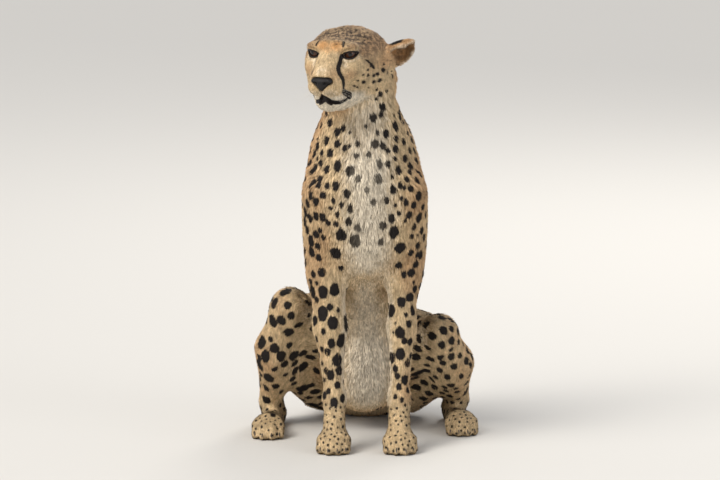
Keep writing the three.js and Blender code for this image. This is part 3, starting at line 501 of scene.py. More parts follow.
hair += 7 * mid_chest * step(z, .30, .45)
hair = web.spread(hair, 12)
LIFT = .33  # a hair rises by about a third of its length
depth = hair * LIFT * step(slit_gap, 1, 7) * step(lip_gap, 1.5, 6)
depth *= 1 - .6 * begins(named, "ear")
depth = web.spread(depth, 6) * step(slit_gap, .5, 4)
redraw(skin_mesh, points - normals * (depth * MM)[:, None])
points, normals = points_of(skin_mesh), normals_of(skin_mesh)
head_mm = to_head(points)
way = unit(flat_to(way, normals))
print("coat depth", round(float(depth.mean()), 1), "mm on average")

# %% [markdown]
# ## Markings
# A cheetah's spots are solid and roundish, set at an even distance from each other but never in a lattice. No
# two animals have the same ones, so those on the front are set one by one. Elsewhere each is dropped at random
# where no other is near, with a spacing and size that belong to its part of the body. All are drawn out a
# little along the hair. What is kept for every point is how far it lies from the nearest spot's edge, so that
# the shader can draw the edge sharp at any scale. The tear line, lids and lips are kept in the same way.

# %% Even scattering
def areas(points, corners):
    a, b, c = (points[corners[:, k]] for k in range(3))
    return np.linalg.norm(np.cross(b - a, c - a), axis=1) / 2


def strewn(weights, count):
    """Random places as faces, by their weights, and shares of the faces' corners."""
    chosen = random.choice(len(weights), count, p=weights / weights.sum())
    r, t = np.sqrt(random.random(count)), random.random(count)
    return chosen, np.stack([1 - r, r * (1 - t), r * t], 1)


def mixed(values, corners, shares):
    """Values of a mesh's points, read between them."""
    return np.einsum("ij,ij...->i...", shares, values[corners])


def tree_of(places):
    """A tree that finds the nearest of some places."""
    tree = KDTree(len(places))
    for i, place in enumerate(places.tolist()):
        tree.insert(place, i)
    tree.balance()
    return tree


def apart(places, spacing):
    """The places that are left when each keeps the later ones its own spacing away."""
    tree, free, left = tree_of(places), np.ones(len(places), bool), []
    for i, place in enumerate(places.tolist()):
        if free[i]:
            left.append(i)
            for _, j, _ in tree.find_range(place, float(spacing[i])):
                free[j] = False
    return np.array(left)

# %% Spacing and size of spots
spacing = by_home(home, [("head", 10), ("ear", 40), ("neck", 17), ("chest", 21), ("loins", 23), ("rump", 24),
                         ("upper_arm", 21), ("forearm", 18), ("paw", 10), ("thigh", 26), ("shank", 21),
                         ("hind_foot", 15), ("tail", 22)], 21)
radius = by_home(home, [("head", 1.9), ("ear", 0), ("neck", 5.4), ("chest", 7), ("loins", 7.4), ("rump", 7.8),
                        ("upper_arm", 7.2), ("forearm", 6.4), ("paw", 2.4), ("thigh", 9), ("shank", 7.4),
                        ("hind_foot", 4.2), ("tail", 8)], 6)
forward, side, up = head_mm[:, 0], abs(head_mm[:, 1]), head_mm[:, 2]
is_head = web.spread((named == "head").astype(float), 4)
cheek = step(side, 40, 58) * step(up, -2, -30) * step(forward, 10, -20)
crown = step(up, 12, 24)
spacing = np.where(is_head > .5, 9 + 2 * cheek - 2 * crown + 7 * step(forward, -50, -90), spacing)
radius = np.where(is_head > .5, 1.4 + .7 * cheek + 2.2 * step(forward, -55, -95), radius)
low_leg = begins(named, "forearm") * step(z, .20, .10)
spacing, radius = web.spread(spacing - 3 * low_leg, 6), web.spread(radius - 1.6 * low_leg, 6)

# %% Spots on the front
# (x, height, radius) in mm, each on the first of its solids that a level line from the front meets
FRONT_SPOTS = {
    "head": [(-3, 833, 3), (50, 800, 8), (11, 783, 4.5), (35, 780, 3),
        (5, 774, 3), (33, 769, 5.5), (-4, 765, 3), (49, 764, 3), (5, 763, 4), (41, 763, 4.5),
        (23, 763, 4.5), (16, 761, 4), (-14, 754, 2.5), (-3, 750, 4), (27, 750, 4.5), (16, 748, 4.5),
        (-21, 743, 2.5), (-15, 740, 2.5), (6, 738, 2.5), (35, 734, 5.5)],
    "neck": [(51, 751, 4), (21, 731, 4), (40, 724, 4), (28, 719, 5.5), (21, 710, 4.5), (33, 692, 8.5),
        (29, 677, 5.5), (-75, 676, 6), (15, 672, 8), (56, 672, 3.5), (66, 670, 7.5), (-68, 660, 7.5),
        (1, 656, 4), (73, 655, 6.5), (58, 652, 8.5), (-43, 651, 6), (-30, 643, 3.5), (-53, 643, 8),
        (59, 629, 6.5), (-75, 625, 8), (-14, 622, 5.5), (-30, 618, 4.5), (58, 609, 8)],
    "chest": [(23, 643, 5), (39, 640, 7.5), (82, 633, 5), (-91, 623, 3.5), (74, 621, 7), (18, 621, 8.5),
        (-53, 621, 7.5), (33, 617, 7), (-39, 613, 6), (-93, 609, 8.5), (43, 607, 6), (6, 601, 6),
        (-68, 601, 8.5), (86, 601, 6.5), (-17, 599, 6.5), (-84, 599, 6), (95, 598, 6), (-99, 592, 7),
        (57, 590, 5), (77, 588, 7.5), (-93, 586, 4.5), (27, 582, 7), (43, 581, 7), (-87, 579, 6.5),
        (100, 578, 7), (-53, 577, 9), (-107, 575, 7.5), (88, 572, 6.5), (-29, 569, 9), (-75, 568, 7.5),
        (-98, 568, 7.5), (65, 567, 8), (87, 561, 5), (101, 560, 4), (-105, 559, 6), (-14, 555, 7),
        (52, 555, 4), (107, 553, 6.5), (25, 553, 8), (-89, 549, 7), (81, 548, 6), (102, 544, 7),
        (-101, 542, 6), (-57, 538, 8), (68, 538, 6), (-74, 537, 6), (-92, 536, 6.5), (-108, 534, 4.5),
        (3, 533, 5), (76, 532, 4.5), (53, 531, 7.5), (89, 530, 6.5), (-35, 525, 8.5), (71, 513, 4.5),
        (41, 510, 6), (-62, 509, 5), (15, 509, 6.5), (80, 504, 6), (-46, 501, 5), (59, 500, 4.5),
        (-68, 494, 5), (-29, 494, 6.5), (66, 483, 4.5), (-55, 481, 5), (51, 473, 7.5), (-32, 468, 7.5),
        (-73, 463, 6.5), (-58, 461, 6.5), (34, 458, 8), (-15, 455, 7.5), (56, 444, 11), (-47, 439, 11.5),
        (-20, 428, 11.5), (30, 425, 7), (-58, 399, 12), (66, 372, 7.5), (-48, 367, 6), (-45, 341, 12)],
    "arms": [(-83, 518, 7), (105, 515, 8.5), (-107, 515, 6.5), (-97, 505, 7.5), (-113, 499, 7.5),
        (95, 498, 7), (113, 491, 6.5), (-118, 480, 9), (86, 478, 7.5), (-97, 475, 7.5), (-84, 474, 8.5),
        (106, 470, 9.5), (-109, 469, 9.5), (78, 466, 4.5), (-119, 458, 9), (96, 452, 6.5), (-89, 445, 5.5),
        (-114, 442, 7.5), (111, 441, 7.5), (-97, 436, 8.5), (103, 433, 3.5), (91, 432, 6), (-82, 431, 6),
        (116, 425, 7.5), (-107, 421, 9.5), (-94, 412, 6.5), (104, 411, 7), (68, 410, 12.5), (90, 398, 7),
        (-106, 397, 8.5), (-92, 387, 7), (100, 372, 7.5), (-86, 357, 9), (91, 355, 8.5), (-103, 352, 6.5),
        (77, 352, 5.5), (-108, 336, 6), (96, 335, 3.5), (-96, 334, 4.5), (-61, 321, 11), (98, 321, 6.5),
        (-84, 317, 10.5), (-104, 315, 10), (89, 305, 9.5), (72, 296, 9), (-70, 287, 7), (-54, 280, 4.5),
        (52, 277, 11), (-85, 274, 12), (81, 271, 4.5), (-100, 258, 9.5), (-64, 256, 12), (60, 254, 3),
        (87, 253, 7.5), (-38, 251, 12.5), (-83, 239, 5.5), (69, 236, 10.5), (56, 236, 3), (-48, 219, 12),
        (78, 219, 6.5), (89, 216, 7.5), (-67, 215, 8.5), (-86, 202, 6), (-75, 197, 7.5), (70, 193, 10.5),
        (53, 184, 10.5), (-55, 181, 11), (84, 174, 7.5), (60, 163, 6.5), (-52, 159, 8.5), (-78, 159, 6),
        (-69, 151, 8.5), (64, 149, 6.5), (79, 141, 8.5), (-55, 131, 7.5), (67, 128, 6), (-73, 119, 6),
        (-81, 110, 7), (60, 109, 4.5), (-45, 105, 7), (73, 103, 4.5), (-62, 97, 8.5)],
    "haunch": [(-161, 298, 12), (-120, 279, 5.5), (-183, 275, 11), (-156, 274, 8), (-115, 274, 6),
        (-108, 269, 6), (-149, 253, 7.5), (-115, 250, 5.5), (-169, 242, 10.5), (-186, 238, 13),
        (-106, 220, 6.5), (-154, 216, 10.5), (-191, 198, 6.5), (-209, 188, 13), (-153, 186, 7),
        (-183, 179, 10.5), (-101, 171, 7), (-170, 162, 10), (-144, 161, 12), (-202, 160, 11),
        (-214, 137, 13), (-127, 131, 11), (-196, 110, 12), (-182, 90, 8), (-78, 86, 6), (-111, 85, 7.5),
        (-129, 78, 12.5), (-171, 75, 5.5), (-201, 56, 9.5), (-186, 45, 6.5), (-108, 32, 12), (-90, 24, 9)],
}
FITS = {"head": ("head",), "neck": ("neck", "head", "chest"), "chest": ("chest", "upper", "neck"),
        "arms": ("upper", "forearm", "chest"), "haunch": ("thigh", "shank", "hind_foot", "paw_hind")}
skin_corners = triangles_of(skin_mesh)
skin_tree = surface(points, skin_corners)


def on_front(x, z, fits):
    """The face and place where a level line from the front first meets one of the named solids."""
    y = -1
    while True:
        at, _, face, _ = skin_tree.ray_cast((x * MM, y, z * MM), (0, 1, 0))
        if at is None or named[skin_corners[face][0]].startswith(fits):
            return at, face
        y = at.y + .002


hits = [(*on_front(x_mm, z_mm, FITS[region]), r_mm * MM)
        for region, rows in FRONT_SPOTS.items() for x_mm, z_mm, r_mm in rows]
hits = [hit for hit in hits if hit[0] is not None]
first_seed = np.array([tuple(at) for at, _, _ in hits])
first_corners = skin_corners[[face for _, face, _ in hits]]
first_radius = [r for _, _, r in hits]
print(len(first_seed), "spots set one by one")

# %% Spots everywhere else
TRIES = 60000
weights = areas(points, skin_corners) * (1 / np.square(spacing))[skin_corners].mean(1)
chosen, shares = strewn(weights, TRIES)
corners = skin_corners[chosen]
seed, gap = mixed(points, corners, shares), mixed(spacing, corners, shares) * MM
left = apart(seed, gap * random.uniform(.84, 1.1, len(gap)))
seed, corners, shares, gap = seed[left], corners[left], shares[left], gap[left]
seed_radius = mixed(radius, corners, shares) * random.uniform(.78, 1.2, len(left)) * MM
seed_way, seed_normal = unit(mixed(way, corners, shares)), unit(mixed(normals, corners, shares))

# the muzzle, brow, throat, ears and the belly between the forelegs carry none
h = to_head(seed)
seed_name = flesh_names[homes(seed)]
on_head = seed_name == "head"
bare = (h[:, 0] > 4) | ((h[:, 2] < -62) & (h[:, 0] > -42)) | (from_slit(mirrored(h)) < 9)
bare |= (h[:, 2] < -84) | ((h[:, 2] > 4) & (h[:, 2] < 17) & (h[:, 0] > -40))
bare = on_head & bare | begins(seed_name, "ear") | (seed_name == "loins") & (seed_normal[:, 1] < -.1)
bare |= (seed_name == "rump") & (seed_normal[:, 1] < -.3) & (abs(seed[:, 0]) < .06)

# the middle of the front and the left cheek have only the spots set one by one, and elsewhere a dropped spot
# keeps its distance from those
TURNED = .12
facing = seed_normal @ np.array((0, -.988, .156))
met = begins(seed_name, "chest", "neck", "upper_arm", "thigh_right", "shank_right")
met |= begins(seed_name, "forearm") & (seed[:, 2] > .085)
bare |= met & (facing > TURNED) & (abs(seed[:, 0]) < .07)
bare |= on_head & (facing > TURNED) & (h[:, 1] > 30) & (h[:, 2] < 12)
first_tree = tree_of(first_seed)
to_first = np.array([first_tree.find(p)[2] for p in seed.tolist()])
bare |= to_first < gap * np.where(facing > TURNED, .92, .85)
seed, seed_radius, seed_way, seed_normal = (v[~bare] for v in (seed, seed_radius, seed_way, seed_normal))

# %% Twins and shapes
twin = random.random(len(seed)) < .13
across = np.cross(seed_normal, seed_way)
angle = random.uniform(0, 2 * math.pi, len(seed))
reach = (np.cos(angle)[:, None] * seed_way + np.sin(angle)[:, None] * across) * seed_radius[:, None]
seed = np.vstack([seed, seed[twin] + reach[twin] * 1.25, first_seed])
seed_radius = np.r_[seed_radius, seed_radius[twin] * .72, first_radius]
seed_way = np.vstack([seed_way, seed_way[twin], unit(way[first_corners].mean(1))])
seed_stretch = random.uniform(1.05, 1.35, len(seed))
seed_phase = random.uniform(0, 6.28, len(seed))
seed_tree = tree_of(seed)
print(len(seed), "spots in all")


def near_spots(places):
    """The numbers of the three spots nearest to each place."""
    return np.array([[j for _, j, _ in seed_tree.find_n(p, 3)] for p in places.tolist()])


# near its end the tail's spots run together into rings, so far from the tip and so wide to each side, in mm
TAIL_RINGS, RINGED = [(68, 14), (118, 13), (166, 12), (212, 10), (256, 8)], .28
tail_points = points[begins(named, "tail")]
TAIL_TIP = tail_points[np.argmax(np.linalg.norm(tail_points - middle("tail_root"), axis=1))]


def from_tail_tip(places):
    return np.linalg.norm(places - TAIL_TIP, axis=1)


def spot_edge(places, near):
    """Distance outside the nearest spot's or ring's edge in metres, less than 0 within it."""
    best = np.full(len(places), .03)
    for j in near.T:
        v = places - seed[j]
        run = np.einsum("ij,ij->i", v, seed_way[j])
        rest = np.sqrt(np.maximum((v * v).sum(1) - run * run, 0))
        run = run / seed_stretch[j]
        size, turned = np.hypot(run, rest), np.arctan2(rest, run)
        wobble = 1 + .06 * np.sin(3 * turned + seed_phase[j]) + .04 * np.sin(5 * turned - 2 * seed_phase[j])
        best = np.minimum(best, size - seed_radius[j] * wobble)
    away = from_tail_tip(places)
    rings = np.min([abs(away - at * MM) - half * MM for at, half in TAIL_RINGS], axis=0)
    return np.where(away < RINGED, rings, best)

# %% Tear line, lids and lips
TEAR = [(5, 23, -3, 4.2), (15, 24.3, -8.2, 5.5), (23.6, 24.4, -15, 5.7), (32, 25.5, -22, 5.7),
        (34.5, 29.6, -29.7, 5.6), (33.6, 34.2, -37, 5.5), (32.5, 36, -44.8, 5.7), (32.5, 35, -52.6, 6),
        (29, 35, -61, 6), (21, 36, -69, 6.2), (12, 36.5, -76, 6.8), (9.5, 38, -84, 4.4)]
OUTER_STREAK = [(-23, 62, -16, 1.7), (-27, 64.8, -19.8, 2.6), (-31, 66.5, -24, 2.2), (-36, 68.6, -30, 3.0),
                (-42.3, 70.9, -36.7, 3.4)]
BROW_MARK = [(-12, 24, 24.6, 2.2), (-4, 26, 21.5, 2.7), (5, 28.5, 17, 2.2)]
tear, outer_streak, brow_mark = (laid(p, skin_mesh) for p in (TEAR, OUTER_STREAK, BROW_MARK))

# each ear's own directions, as in the solids: its base, the way to its tip, the way its cup opens
EARS = {1: ((-100, 83, -30), (-.3, .86, .48), (.74, .3, -.55)),
        -1: ((-98, -66, -30), (-.87, -.42, -.02), (-.22, -.8, -.5))}


def in_ear(h, side):
    """How far out, across toward its upper edge and deep toward the opening each place is, in mm."""
    base, tip, opens = (np.array(v, float) for v in EARS[side])
    tip = unit(tip)
    opens = unit(opens - tip * (opens @ tip))
    return (h - base) @ np.stack([tip, np.cross(opens, tip) * side, opens], 1)


def face_edge(places, normals):
    """Distance outside the face's black lines in metres, less than 0 within them."""
    h = to_head(places)
    folded = mirrored(h)
    liner = from_slit(folded) - 2.7
    liner = liner - .9 * step(folded[:, 2], 2, 7)
    best = np.minimum(liner, mouth_edge(folded))
    for side in EARS:
        out, upper, deep = in_ear(h, side).T
        away = in_ear(normals @ HEAD_COLUMNS + EARS[side][0], side)[:, 2]
        patch = np.maximum((np.hypot((out - 25) / 18, (upper - 4) / 21) - 1) * 16, np.abs(deep + 13) - 15)
        best = np.minimum(best, np.maximum(patch, away * 20))
    for path in (tear, brow_mark):
        best = np.minimum(best, along(folded, path)[0])
    hidden = 99 * step(h[:, 1], 0, -20) * step(h[:, 0], -36, -30)
    best = np.minimum(best, along(folded, outer_streak)[0] + hidden)
    return np.minimum(best, 20) * MM

# %% Pale, warm and grey
def ball(h, centre, size):
    return bump(np.linalg.norm((h - np.array(centre)) / np.array(size), axis=1), 1)


def most(*values):
    return np.maximum.reduce(values)


def tones(places, normals, names):
    """How pale, how warm, how grey and how golden the ground colour is, 0 to 1, with painted shade on the
    temples, over the eyes and in the ears' cups.
    """
    x, _, z = places.T
    raw_head = to_head(places)
    h = mirrored(raw_head)
    ahead, out, up = h.T
    head, neck = (names == "head").astype(float), names == "neck"
    facing = -normals[:, 1]
    trunk = np.isin(names, ("chest", "loins", "neck", "rump")).astype(float)
    inner = np.where(x > 0, -1, 1) * normals[:, 0]
    limb = begins(names, "thigh", "shank", "forearm")
    chin = step(up, -68, -80) * step(ahead, -40, 0) + step(up, -80, -98)
    pads = ball(h, (56, 12, -62), (14, 20, 12))
    # painted shade: behind the eye and over it the fur is made browner and greyer, where the side of the face
    # lies in shade
    shaded_temple = head * step(out, 36, 52) * step(up, -30, -2) * step(ahead, 0, -24)
    brow = head * ball(h, (-4, 44, 16), (20, 15, 9))
    crown_low = 18 - 20 * step(ahead, -12, -50)

    pale = most(trunk * step(facing, .3, .95) * step(abs(x - .006), .085, .012) * np.where(neck, .6, .85),
                limb * step(inner, .35, .95) * .6,
                step(from_tail_tip(places), .06, .045),
                head * np.clip(chin + pads * .55, 0, 1),
                head * .6 * ball(h, (12, 31, -18), (9, 6.5, 8)),
                head * .8 * bump(from_slit(h) - 5.5, 1.6) * step(up, 0, -5),
                head * .6 * ball(h, (50, 0, -22), (20, 12, 12)))
    warm = most(trunk * step(facing, .75, .1) * .75,
                trunk * step(abs(x), .06, .11) * .7,
                neck * step(facing, .1, .7) * .25,
                limb * step(inner, .3, -.5) * .5,
                begins(names, "upper_arm") * .55,
                head * .75 * step(ahead, 6, -30) * step(up, -70, -25),
                head * .5 * ball(h, (40, 18, -30), (26, 14, 12)),
                head * .8 * ball(h, (20, 48, -38), (26, 18, 22)),
                # painted shade: the temple and the brow turn browner
                shaded_temple, brow)
    crown = head * step(up, crown_low, crown_low + 10) * step(ahead, 10, -6)
    # painted shade: the temple and the brow are greyed
    grey = most(crown * (1 - .6 * step(ahead, -62, -105)), shaded_temple * .75, brow * .5,
                neck * step(facing, 0, -.7) * .5)
    gold = most(head * .9 * ball(h, (8, 13, 17), (24, 17, 11)),
                head * .8 * ball(h, (21, 0, 9), (10, 4, 6)),
                .4 * trunk * bump(abs(x) - .055, .022) * bump(z - .385, .035) * step(facing, .2, .7))
    for side in EARS:
        out, upper, deep = in_ear(raw_head, side).T
        mine = begins(names, "ear_left" if side > 0 else "ear_right")
        rim = np.maximum(step(deep, 2.5, 6.5), step(out, 46, 56))
        pale = np.where(mine, rim * .5, pale)
        warm = np.where(mine, .9, warm)
        # painted shade: within the cup, inside the pale rim, the fur is turned gold-brown and greyed deeper
        # in, where the cup lies in shade
        gold = np.where(mine, .5 * (1 - rim), gold)
        grey = np.where(mine, .6 * (1 - rim) * step(deep, 2, -4), grey)
    return pale, warm, grey, gold


spot_far = spot_edge(points, near_spots(points))
line_far = np.minimum(face_edge(points, normals), lining * MM)
pale, warm, grey, gold = (web.spread(v, 8) for v in tones(points, normals, named))
print("pale share", round(float(pale.mean()), 2), "warm share", round(float(warm.mean()), 2))

# %% [markdown]
# ## Colour in the shader
# One node group turns what the points carry into the coat's colour, so the skin and every tuft over it show
# the same markings. It starts from cream, lays warm tan, pale, gold and grey over it one after the other,
# varies them in fine streaks, and puts black on top where a spot or a line is, with slightly ragged edges.
# Materials give it their own shades.

# %% Small tools for node trees
def paint(code):
    """A colour as the lamps see it, from its six digits on a screen."""
    parts = [int(code[i:i + 2], 16) / 255 for i in (0, 2, 4)]
    return (*[c / 12.92 if c <= .04045 else ((c + .055) / 1.055) ** 2.4 for c in parts], 1)


class Tree:
    """A node tree that is wired by what each node is given."""

    def __init__(self, tree):
        self.tree = tree

    def node(self, kind, **settings):
        made = self.tree.nodes.new("ShaderNode" + kind)
        for name, value in settings.items():
            setattr(made, name, value)
        return made

    def give(self, socket, value):
        if isinstance(value, bpy.types.NodeSocket):
            self.tree.links.new(value, socket)
        elif value is not None:
            socket.default_value = value

    def sum(self, kind, a, b=None, c=None):
        made = self.node("Math", operation=kind)
        for socket, value in zip(made.inputs, (a, b, c)):
            self.give(socket, value)
        return made.outputs[0]

    def fill(self, sockets, **values):
        """Gives each socket its value; a name's low lines stand for its spaces."""
        for name, value in values.items():
            self.give(sockets[name.replace("_", " ")], value)

    def carried(self, name):
        return self.node("Attribute", attribute_name=name).outputs["Fac"]

    def grain(self, scale, detail=2, stretch=None):
        place = self.node("TexCoord").outputs["Object"]
        if stretch:
            mapping = self.node("Mapping")
            self.fill(mapping.inputs, Vector=place, Scale=stretch)
            place = mapping.outputs["Vector"]
        made = self.node("TexNoise")
        self.fill(made.inputs, Vector=place, Scale=scale, Detail=detail)
        return made.outputs["Fac"]

    def ramp(self, value, low, high, start=0, end=1):
        made = self.node("MapRange", interpolation_type="SMOOTHSTEP")
        self.fill(made.inputs, Value=value, From_Min=low, From_Max=high, To_Min=start, To_Max=end)
        return made.outputs["Result"]

    def blend(self, share, a, b, kind="MIX"):
        made = self.node("Mix", data_type="RGBA", blend_type=kind)
        self.fill(made.inputs, Factor=share, A=a, B=b)
        return made.outputs["Result"]

    def relief(self, height, strength, deep):
        made = self.node("Bump")
        self.fill(made.inputs, Height=height, Strength=strength, Distance=deep)
        return made.outputs["Normal"]

    def use(self, which, **values):
        """A group placed in this tree, with its own values."""
        made = self.node("Group", node_tree=which)
        self.fill(made.inputs, **values)
        return made.outputs


def group(name, inputs, outputs):
    """A new shader node group and its tree: names of sockets with their kinds and first values."""
    made = bpy.data.node_groups.new(name, "ShaderNodeTree")
    for label, kind, value in inputs:
        made.interface.new_socket(label, in_out="INPUT", socket_type=kind).default_value = value
    for label, kind in outputs:
        made.interface.new_socket(label, in_out="OUTPUT", socket_type=kind)
    tree = Tree(made)
    return made, tree, made.nodes.new("NodeGroupInput").outputs, made.nodes.new("NodeGroupOutput").inputs


COLOUR, NUMBER = "NodeSocketColor", "NodeSocketFloat"

# %% The markings group
markings, t, given, gives = group("coat_markings", [
    ("Cream", COLOUR, paint("cbb18a")), ("Pale", COLOUR, paint("dccfb9")), ("Warm", COLOUR, paint("b8936c")),
    ("Grey", COLOUR, paint("52443a")), ("Gold", COLOUR, paint("c8955f")), ("Black", COLOUR, paint("1d1714")),
    ("Raggedness", NUMBER, .0007), ("Streaks", NUMBER, .5)], [("Colour", COLOUR), ("Dark", NUMBER)])
broad = t.grain(9, 2)
fine = t.grain(240, 2, (1, 1, .25))
brindle = t.grain(70, 3, (1, 1, .4))
ground = t.blend(t.ramp(t.sum("ADD", t.carried("warm"), t.ramp(broad, .3, .7, -.22, .22)), .1, 1),
                 given["Cream"], given["Warm"])
ground = t.blend(t.ramp(t.sum("ADD", t.carried("pale"), t.ramp(fine, .3, .7, -.12, .12)), .1, .95),
                 ground, given["Pale"])
ground = t.blend(t.ramp(t.carried("gold"), .05, .95), ground, given["Gold"])
clumps = t.ramp(t.grain(150, 3), .38, .62, -.42, .42)
fleck = t.ramp(t.sum("MULTIPLY_ADD", t.carried("tint"), .7, clumps), -.2, .16)
greyed = t.sum("MULTIPLY", t.carried("grey"), t.sum("MULTIPLY_ADD", fleck, .78, .22))
ground = t.blend(greyed, ground, given["Grey"])
tone = t.sum("ADD", t.carried("tint"), t.ramp(fine, .3, .7, -.5, .5))
tone = t.sum("ADD", tone, t.ramp(brindle, .3, .7, -.4, .4))
tone = t.sum("MULTIPLY_ADD", tone, given["Streaks"], 1)
light_ground = t.blend(1.0, ground, tone, "MULTIPLY")
rough_edge = t.sum("MULTIPLY", t.ramp(t.grain(420, 2), .25, .75, -1, 1), given["Raggedness"])
spots = t.ramp(t.sum("ADD", t.carried("spot"), rough_edge), -.0012, .0012, 1, 0)
spots = t.sum("MULTIPLY", spots, t.ramp(t.carried("pale"), .5, .95, 1, .78))
lines = t.ramp(t.sum("ADD", t.carried("line"), t.sum("MULTIPLY", rough_edge, .5)), -.0007, .0007, 1, 0)
dark = t.sum("MAXIMUM", spots, lines)
t.fill(gives, Colour=t.blend(dark, light_ground, given["Black"]), Dark=dark)
print("markings group:", len(markings.nodes), "nodes")

# %% [markdown]
# ## Skin finish
# What shows of the skin between the tufts is the lowest layer of short hair. It has the coat's colours, a
# little darker as painted shade deep among the tufts, no shine, and a fine bump that runs like hair. On the
# lids and lips it is bare, damp and black.

# %% Skin material
def material(name):
    made = bpy.data.materials.new(name)
    made.use_nodes = True
    tree = Tree(made.node_tree)
    return made, tree, made.node_tree.nodes["Principled BSDF"].inputs


def carry(mesh, **values):
    """Lets the mesh's points carry named values."""
    for name, value in values.items():
        layer = mesh.attributes.new(name, "FLOAT", "POINT")
        layer.data.foreach_set("value", np.ascontiguousarray(value, np.float32))


def dress(thing, stuff, slot_name, *replaced, smooth=True):
    """Gives a finished piece its material, its shading and its place in the frame."""
    mesh = thing.data
    mesh.polygons.foreach_set("use_smooth", np.full(len(mesh.polygons), smooth))
    mesh.materials.clear()
    mesh.materials.append(stuff)
    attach(thing, "root")
    if replaced:
        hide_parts(*replaced)


under_coat, t, finish = material("under_coat")
# painted shade: the skin gets darker cream, pale, warm and gold than the tufts, for the shade deep among the
# hair
marks = t.use(markings, Streaks=.22, Cream=paint("ad936b"), Pale=paint("c2b69f"), Warm=paint("977048"),
              Gold=paint("b07c44"))
bare_skin = t.ramp(t.carried("line"), -.001, .0004, 1, 0)
hair_grain = t.sum("MULTIPLY_ADD", t.grain(500, 3, (1, 1, .3)), .7, t.grain(160, 2))
t.fill(finish, Base_Color=marks["Colour"], Roughness=t.ramp(bare_skin, 0, 1, .85, .42),
       Normal=t.relief(hair_grain, .5, .0012), Specular_IOR_Level=.25)
carry(skin_mesh, spot=spot_far, line=line_far, pale=pale, warm=warm, grey=grey, gold=gold,
      tint=np.zeros(len(points)))
dress(skin, under_coat, "coat", *flesh)
print("skin dressed in place of", len(flesh), "solids")

# %% [markdown]
# ## The unwrap
# The skin gets a flat map of its own shape, named OFBake. Each tuft later takes a small patch of that map
# where its root stands, and so keeps the colour of that place.

# %% Unwrap
for thing in bpy.context.selected_objects:
    thing.select_set(False)
bpy.context.view_layer.objects.active = skin
skin.select_set(True)
skin_mesh.uv_layers.new(name="OFBake")
bpy.ops.object.mode_set(mode="EDIT")
bpy.ops.mesh.select_all(action="SELECT")
bpy.ops.uv.smart_project(angle_limit=math.radians(66), island_margin=.002)
bpy.ops.object.mode_set(mode="OBJECT")
skin_mesh = skin.data
skin_uv = read(skin_mesh.uv_layers["OFBake"].data, "uv", 2)
print("unwrapped", len(skin_uv), "corners")

# %% [markdown]
# ## Eyes
# The ball is a closed form with a clear bulge in front, drawn by its angle from the line of sight: a round
# pupil, an iris of fine spokes and a dark ring where it meets the white. Being one damp, coated surface it
# shows the lamps as a small bright point, which is what makes an eye look alive.

# %% Eye finish
iris, t, finish = material("amber_eye")
off_sight = t.carried("off_axis")
fibre = t.node("TexNoise", noise_dimensions="1D")
t.fill(fibre.inputs, W=t.carried("spoke"), Scale=46, Detail=3)
shade = t.blend(t.ramp(fibre.outputs["Fac"], .35, .65), paint("2e170e"), paint("643a20"))
for low, high, code in ((.3, .62, "3c2114"), (.64, .72, "140c08"), (.78, .9, "8d7f74")):
    shade = t.blend(t.ramp(off_sight, low, high), shade, paint(code))
shade = t.blend(t.ramp(off_sight, .25, .28), paint("050403"), shade)
t.fill(finish, Base_Color=shade, Roughness=.12, Specular_IOR_Level=.3, Coat_Weight=.35, Coat_Roughness=.03)
print("eye finish:", len(t.tree.nodes), "nodes")

# %% Eyeballs
RINGS, SPOKES = 30, 48
a = np.repeat(math.pi * np.arange(1, RINGS) / RINGS, SPOKES)
w = np.tile(2 * math.pi * np.arange(SPOKES) / SPOKES, RINGS - 1)
bulge = EYE_RADIUS - .25 + 1.1 * bump(a, .42)
off_axis, spoke = np.r_[0, a, math.pi], np.r_[0, w, 0]
last = len(a) + 1
ball_faces = [(0, 1 + j, 1 + (j + 1) % SPOKES) for j in range(SPOKES)]
for p in range(1, last - SPOKES):
    q = p + 1 if p % SPOKES else p + 1 - SPOKES
    ball_faces.append((p, p + SPOKES, q + SPOKES, q))
ball_faces += [(last, last - SPOKES + (j + 1) % SPOKES, last - SPOKES + j) for j in range(SPOKES)]
for label, s in (("left", 1), ("right", -1)):
    flip = np.array((1, s, 1))
    centre = from_head(EYE_BACK, s * EYE_OUT, 0)
    gaze, out, lid_up = ((v * flip) @ HEAD_ROWS for v in (GAZE, LID_OUT, LID_UP))
    round_gaze = out * np.cos(w)[:, None] + lid_up * np.sin(w)[:, None]
    d = gaze * np.cos(a)[:, None] + round_gaze * np.sin(a)[:, None]
    rows = np.vstack([centre + gaze * (EYE_RADIUS + .9) * MM, centre + d * bulge[:, None] * MM,
                      centre - gaze * EYE_RADIUS * MM])
    mesh = bpy.data.meshes.new("eyeball_" + label)
    mesh.from_pydata(rows.tolist(), [], [f[::s] for f in ball_faces])
    carry(mesh, off_axis=off_axis, spoke=spoke)
    dress(set_up("eyeball_" + label, mesh), iris, "eye", "eye_" + label)
print("eyeballs of", len(rows), "points")

# %% [markdown]
# ## Nose leather and claws
# The nose pad is bare black leather with a fine pebble and a damp gleam. Claws are smooth dark horn with a
# faint grain along their length. Both keep the solids' shape: a fine remesh, eased a little, takes the facets
# away.

# %% Nose
leather, t, finish = material("nose_leather")
pebble = t.node("TexVoronoi", feature="DISTANCE_TO_EDGE")
t.fill(pebble.inputs, Vector=t.node("TexCoord").outputs["Object"], Scale=900)
crease = t.ramp(pebble.outputs["Distance"], 0, .14)
worn = t.grain(120, 3)
t.fill(finish, Base_Color=t.blend(t.ramp(worn, .4, .7), paint("0e0b0b"), paint("1d1817")),
       Roughness=t.ramp(worn, .3, .7, .42, .58), Specular_IOR_Level=.35, Normal=t.relief(crease, .35, .0005))


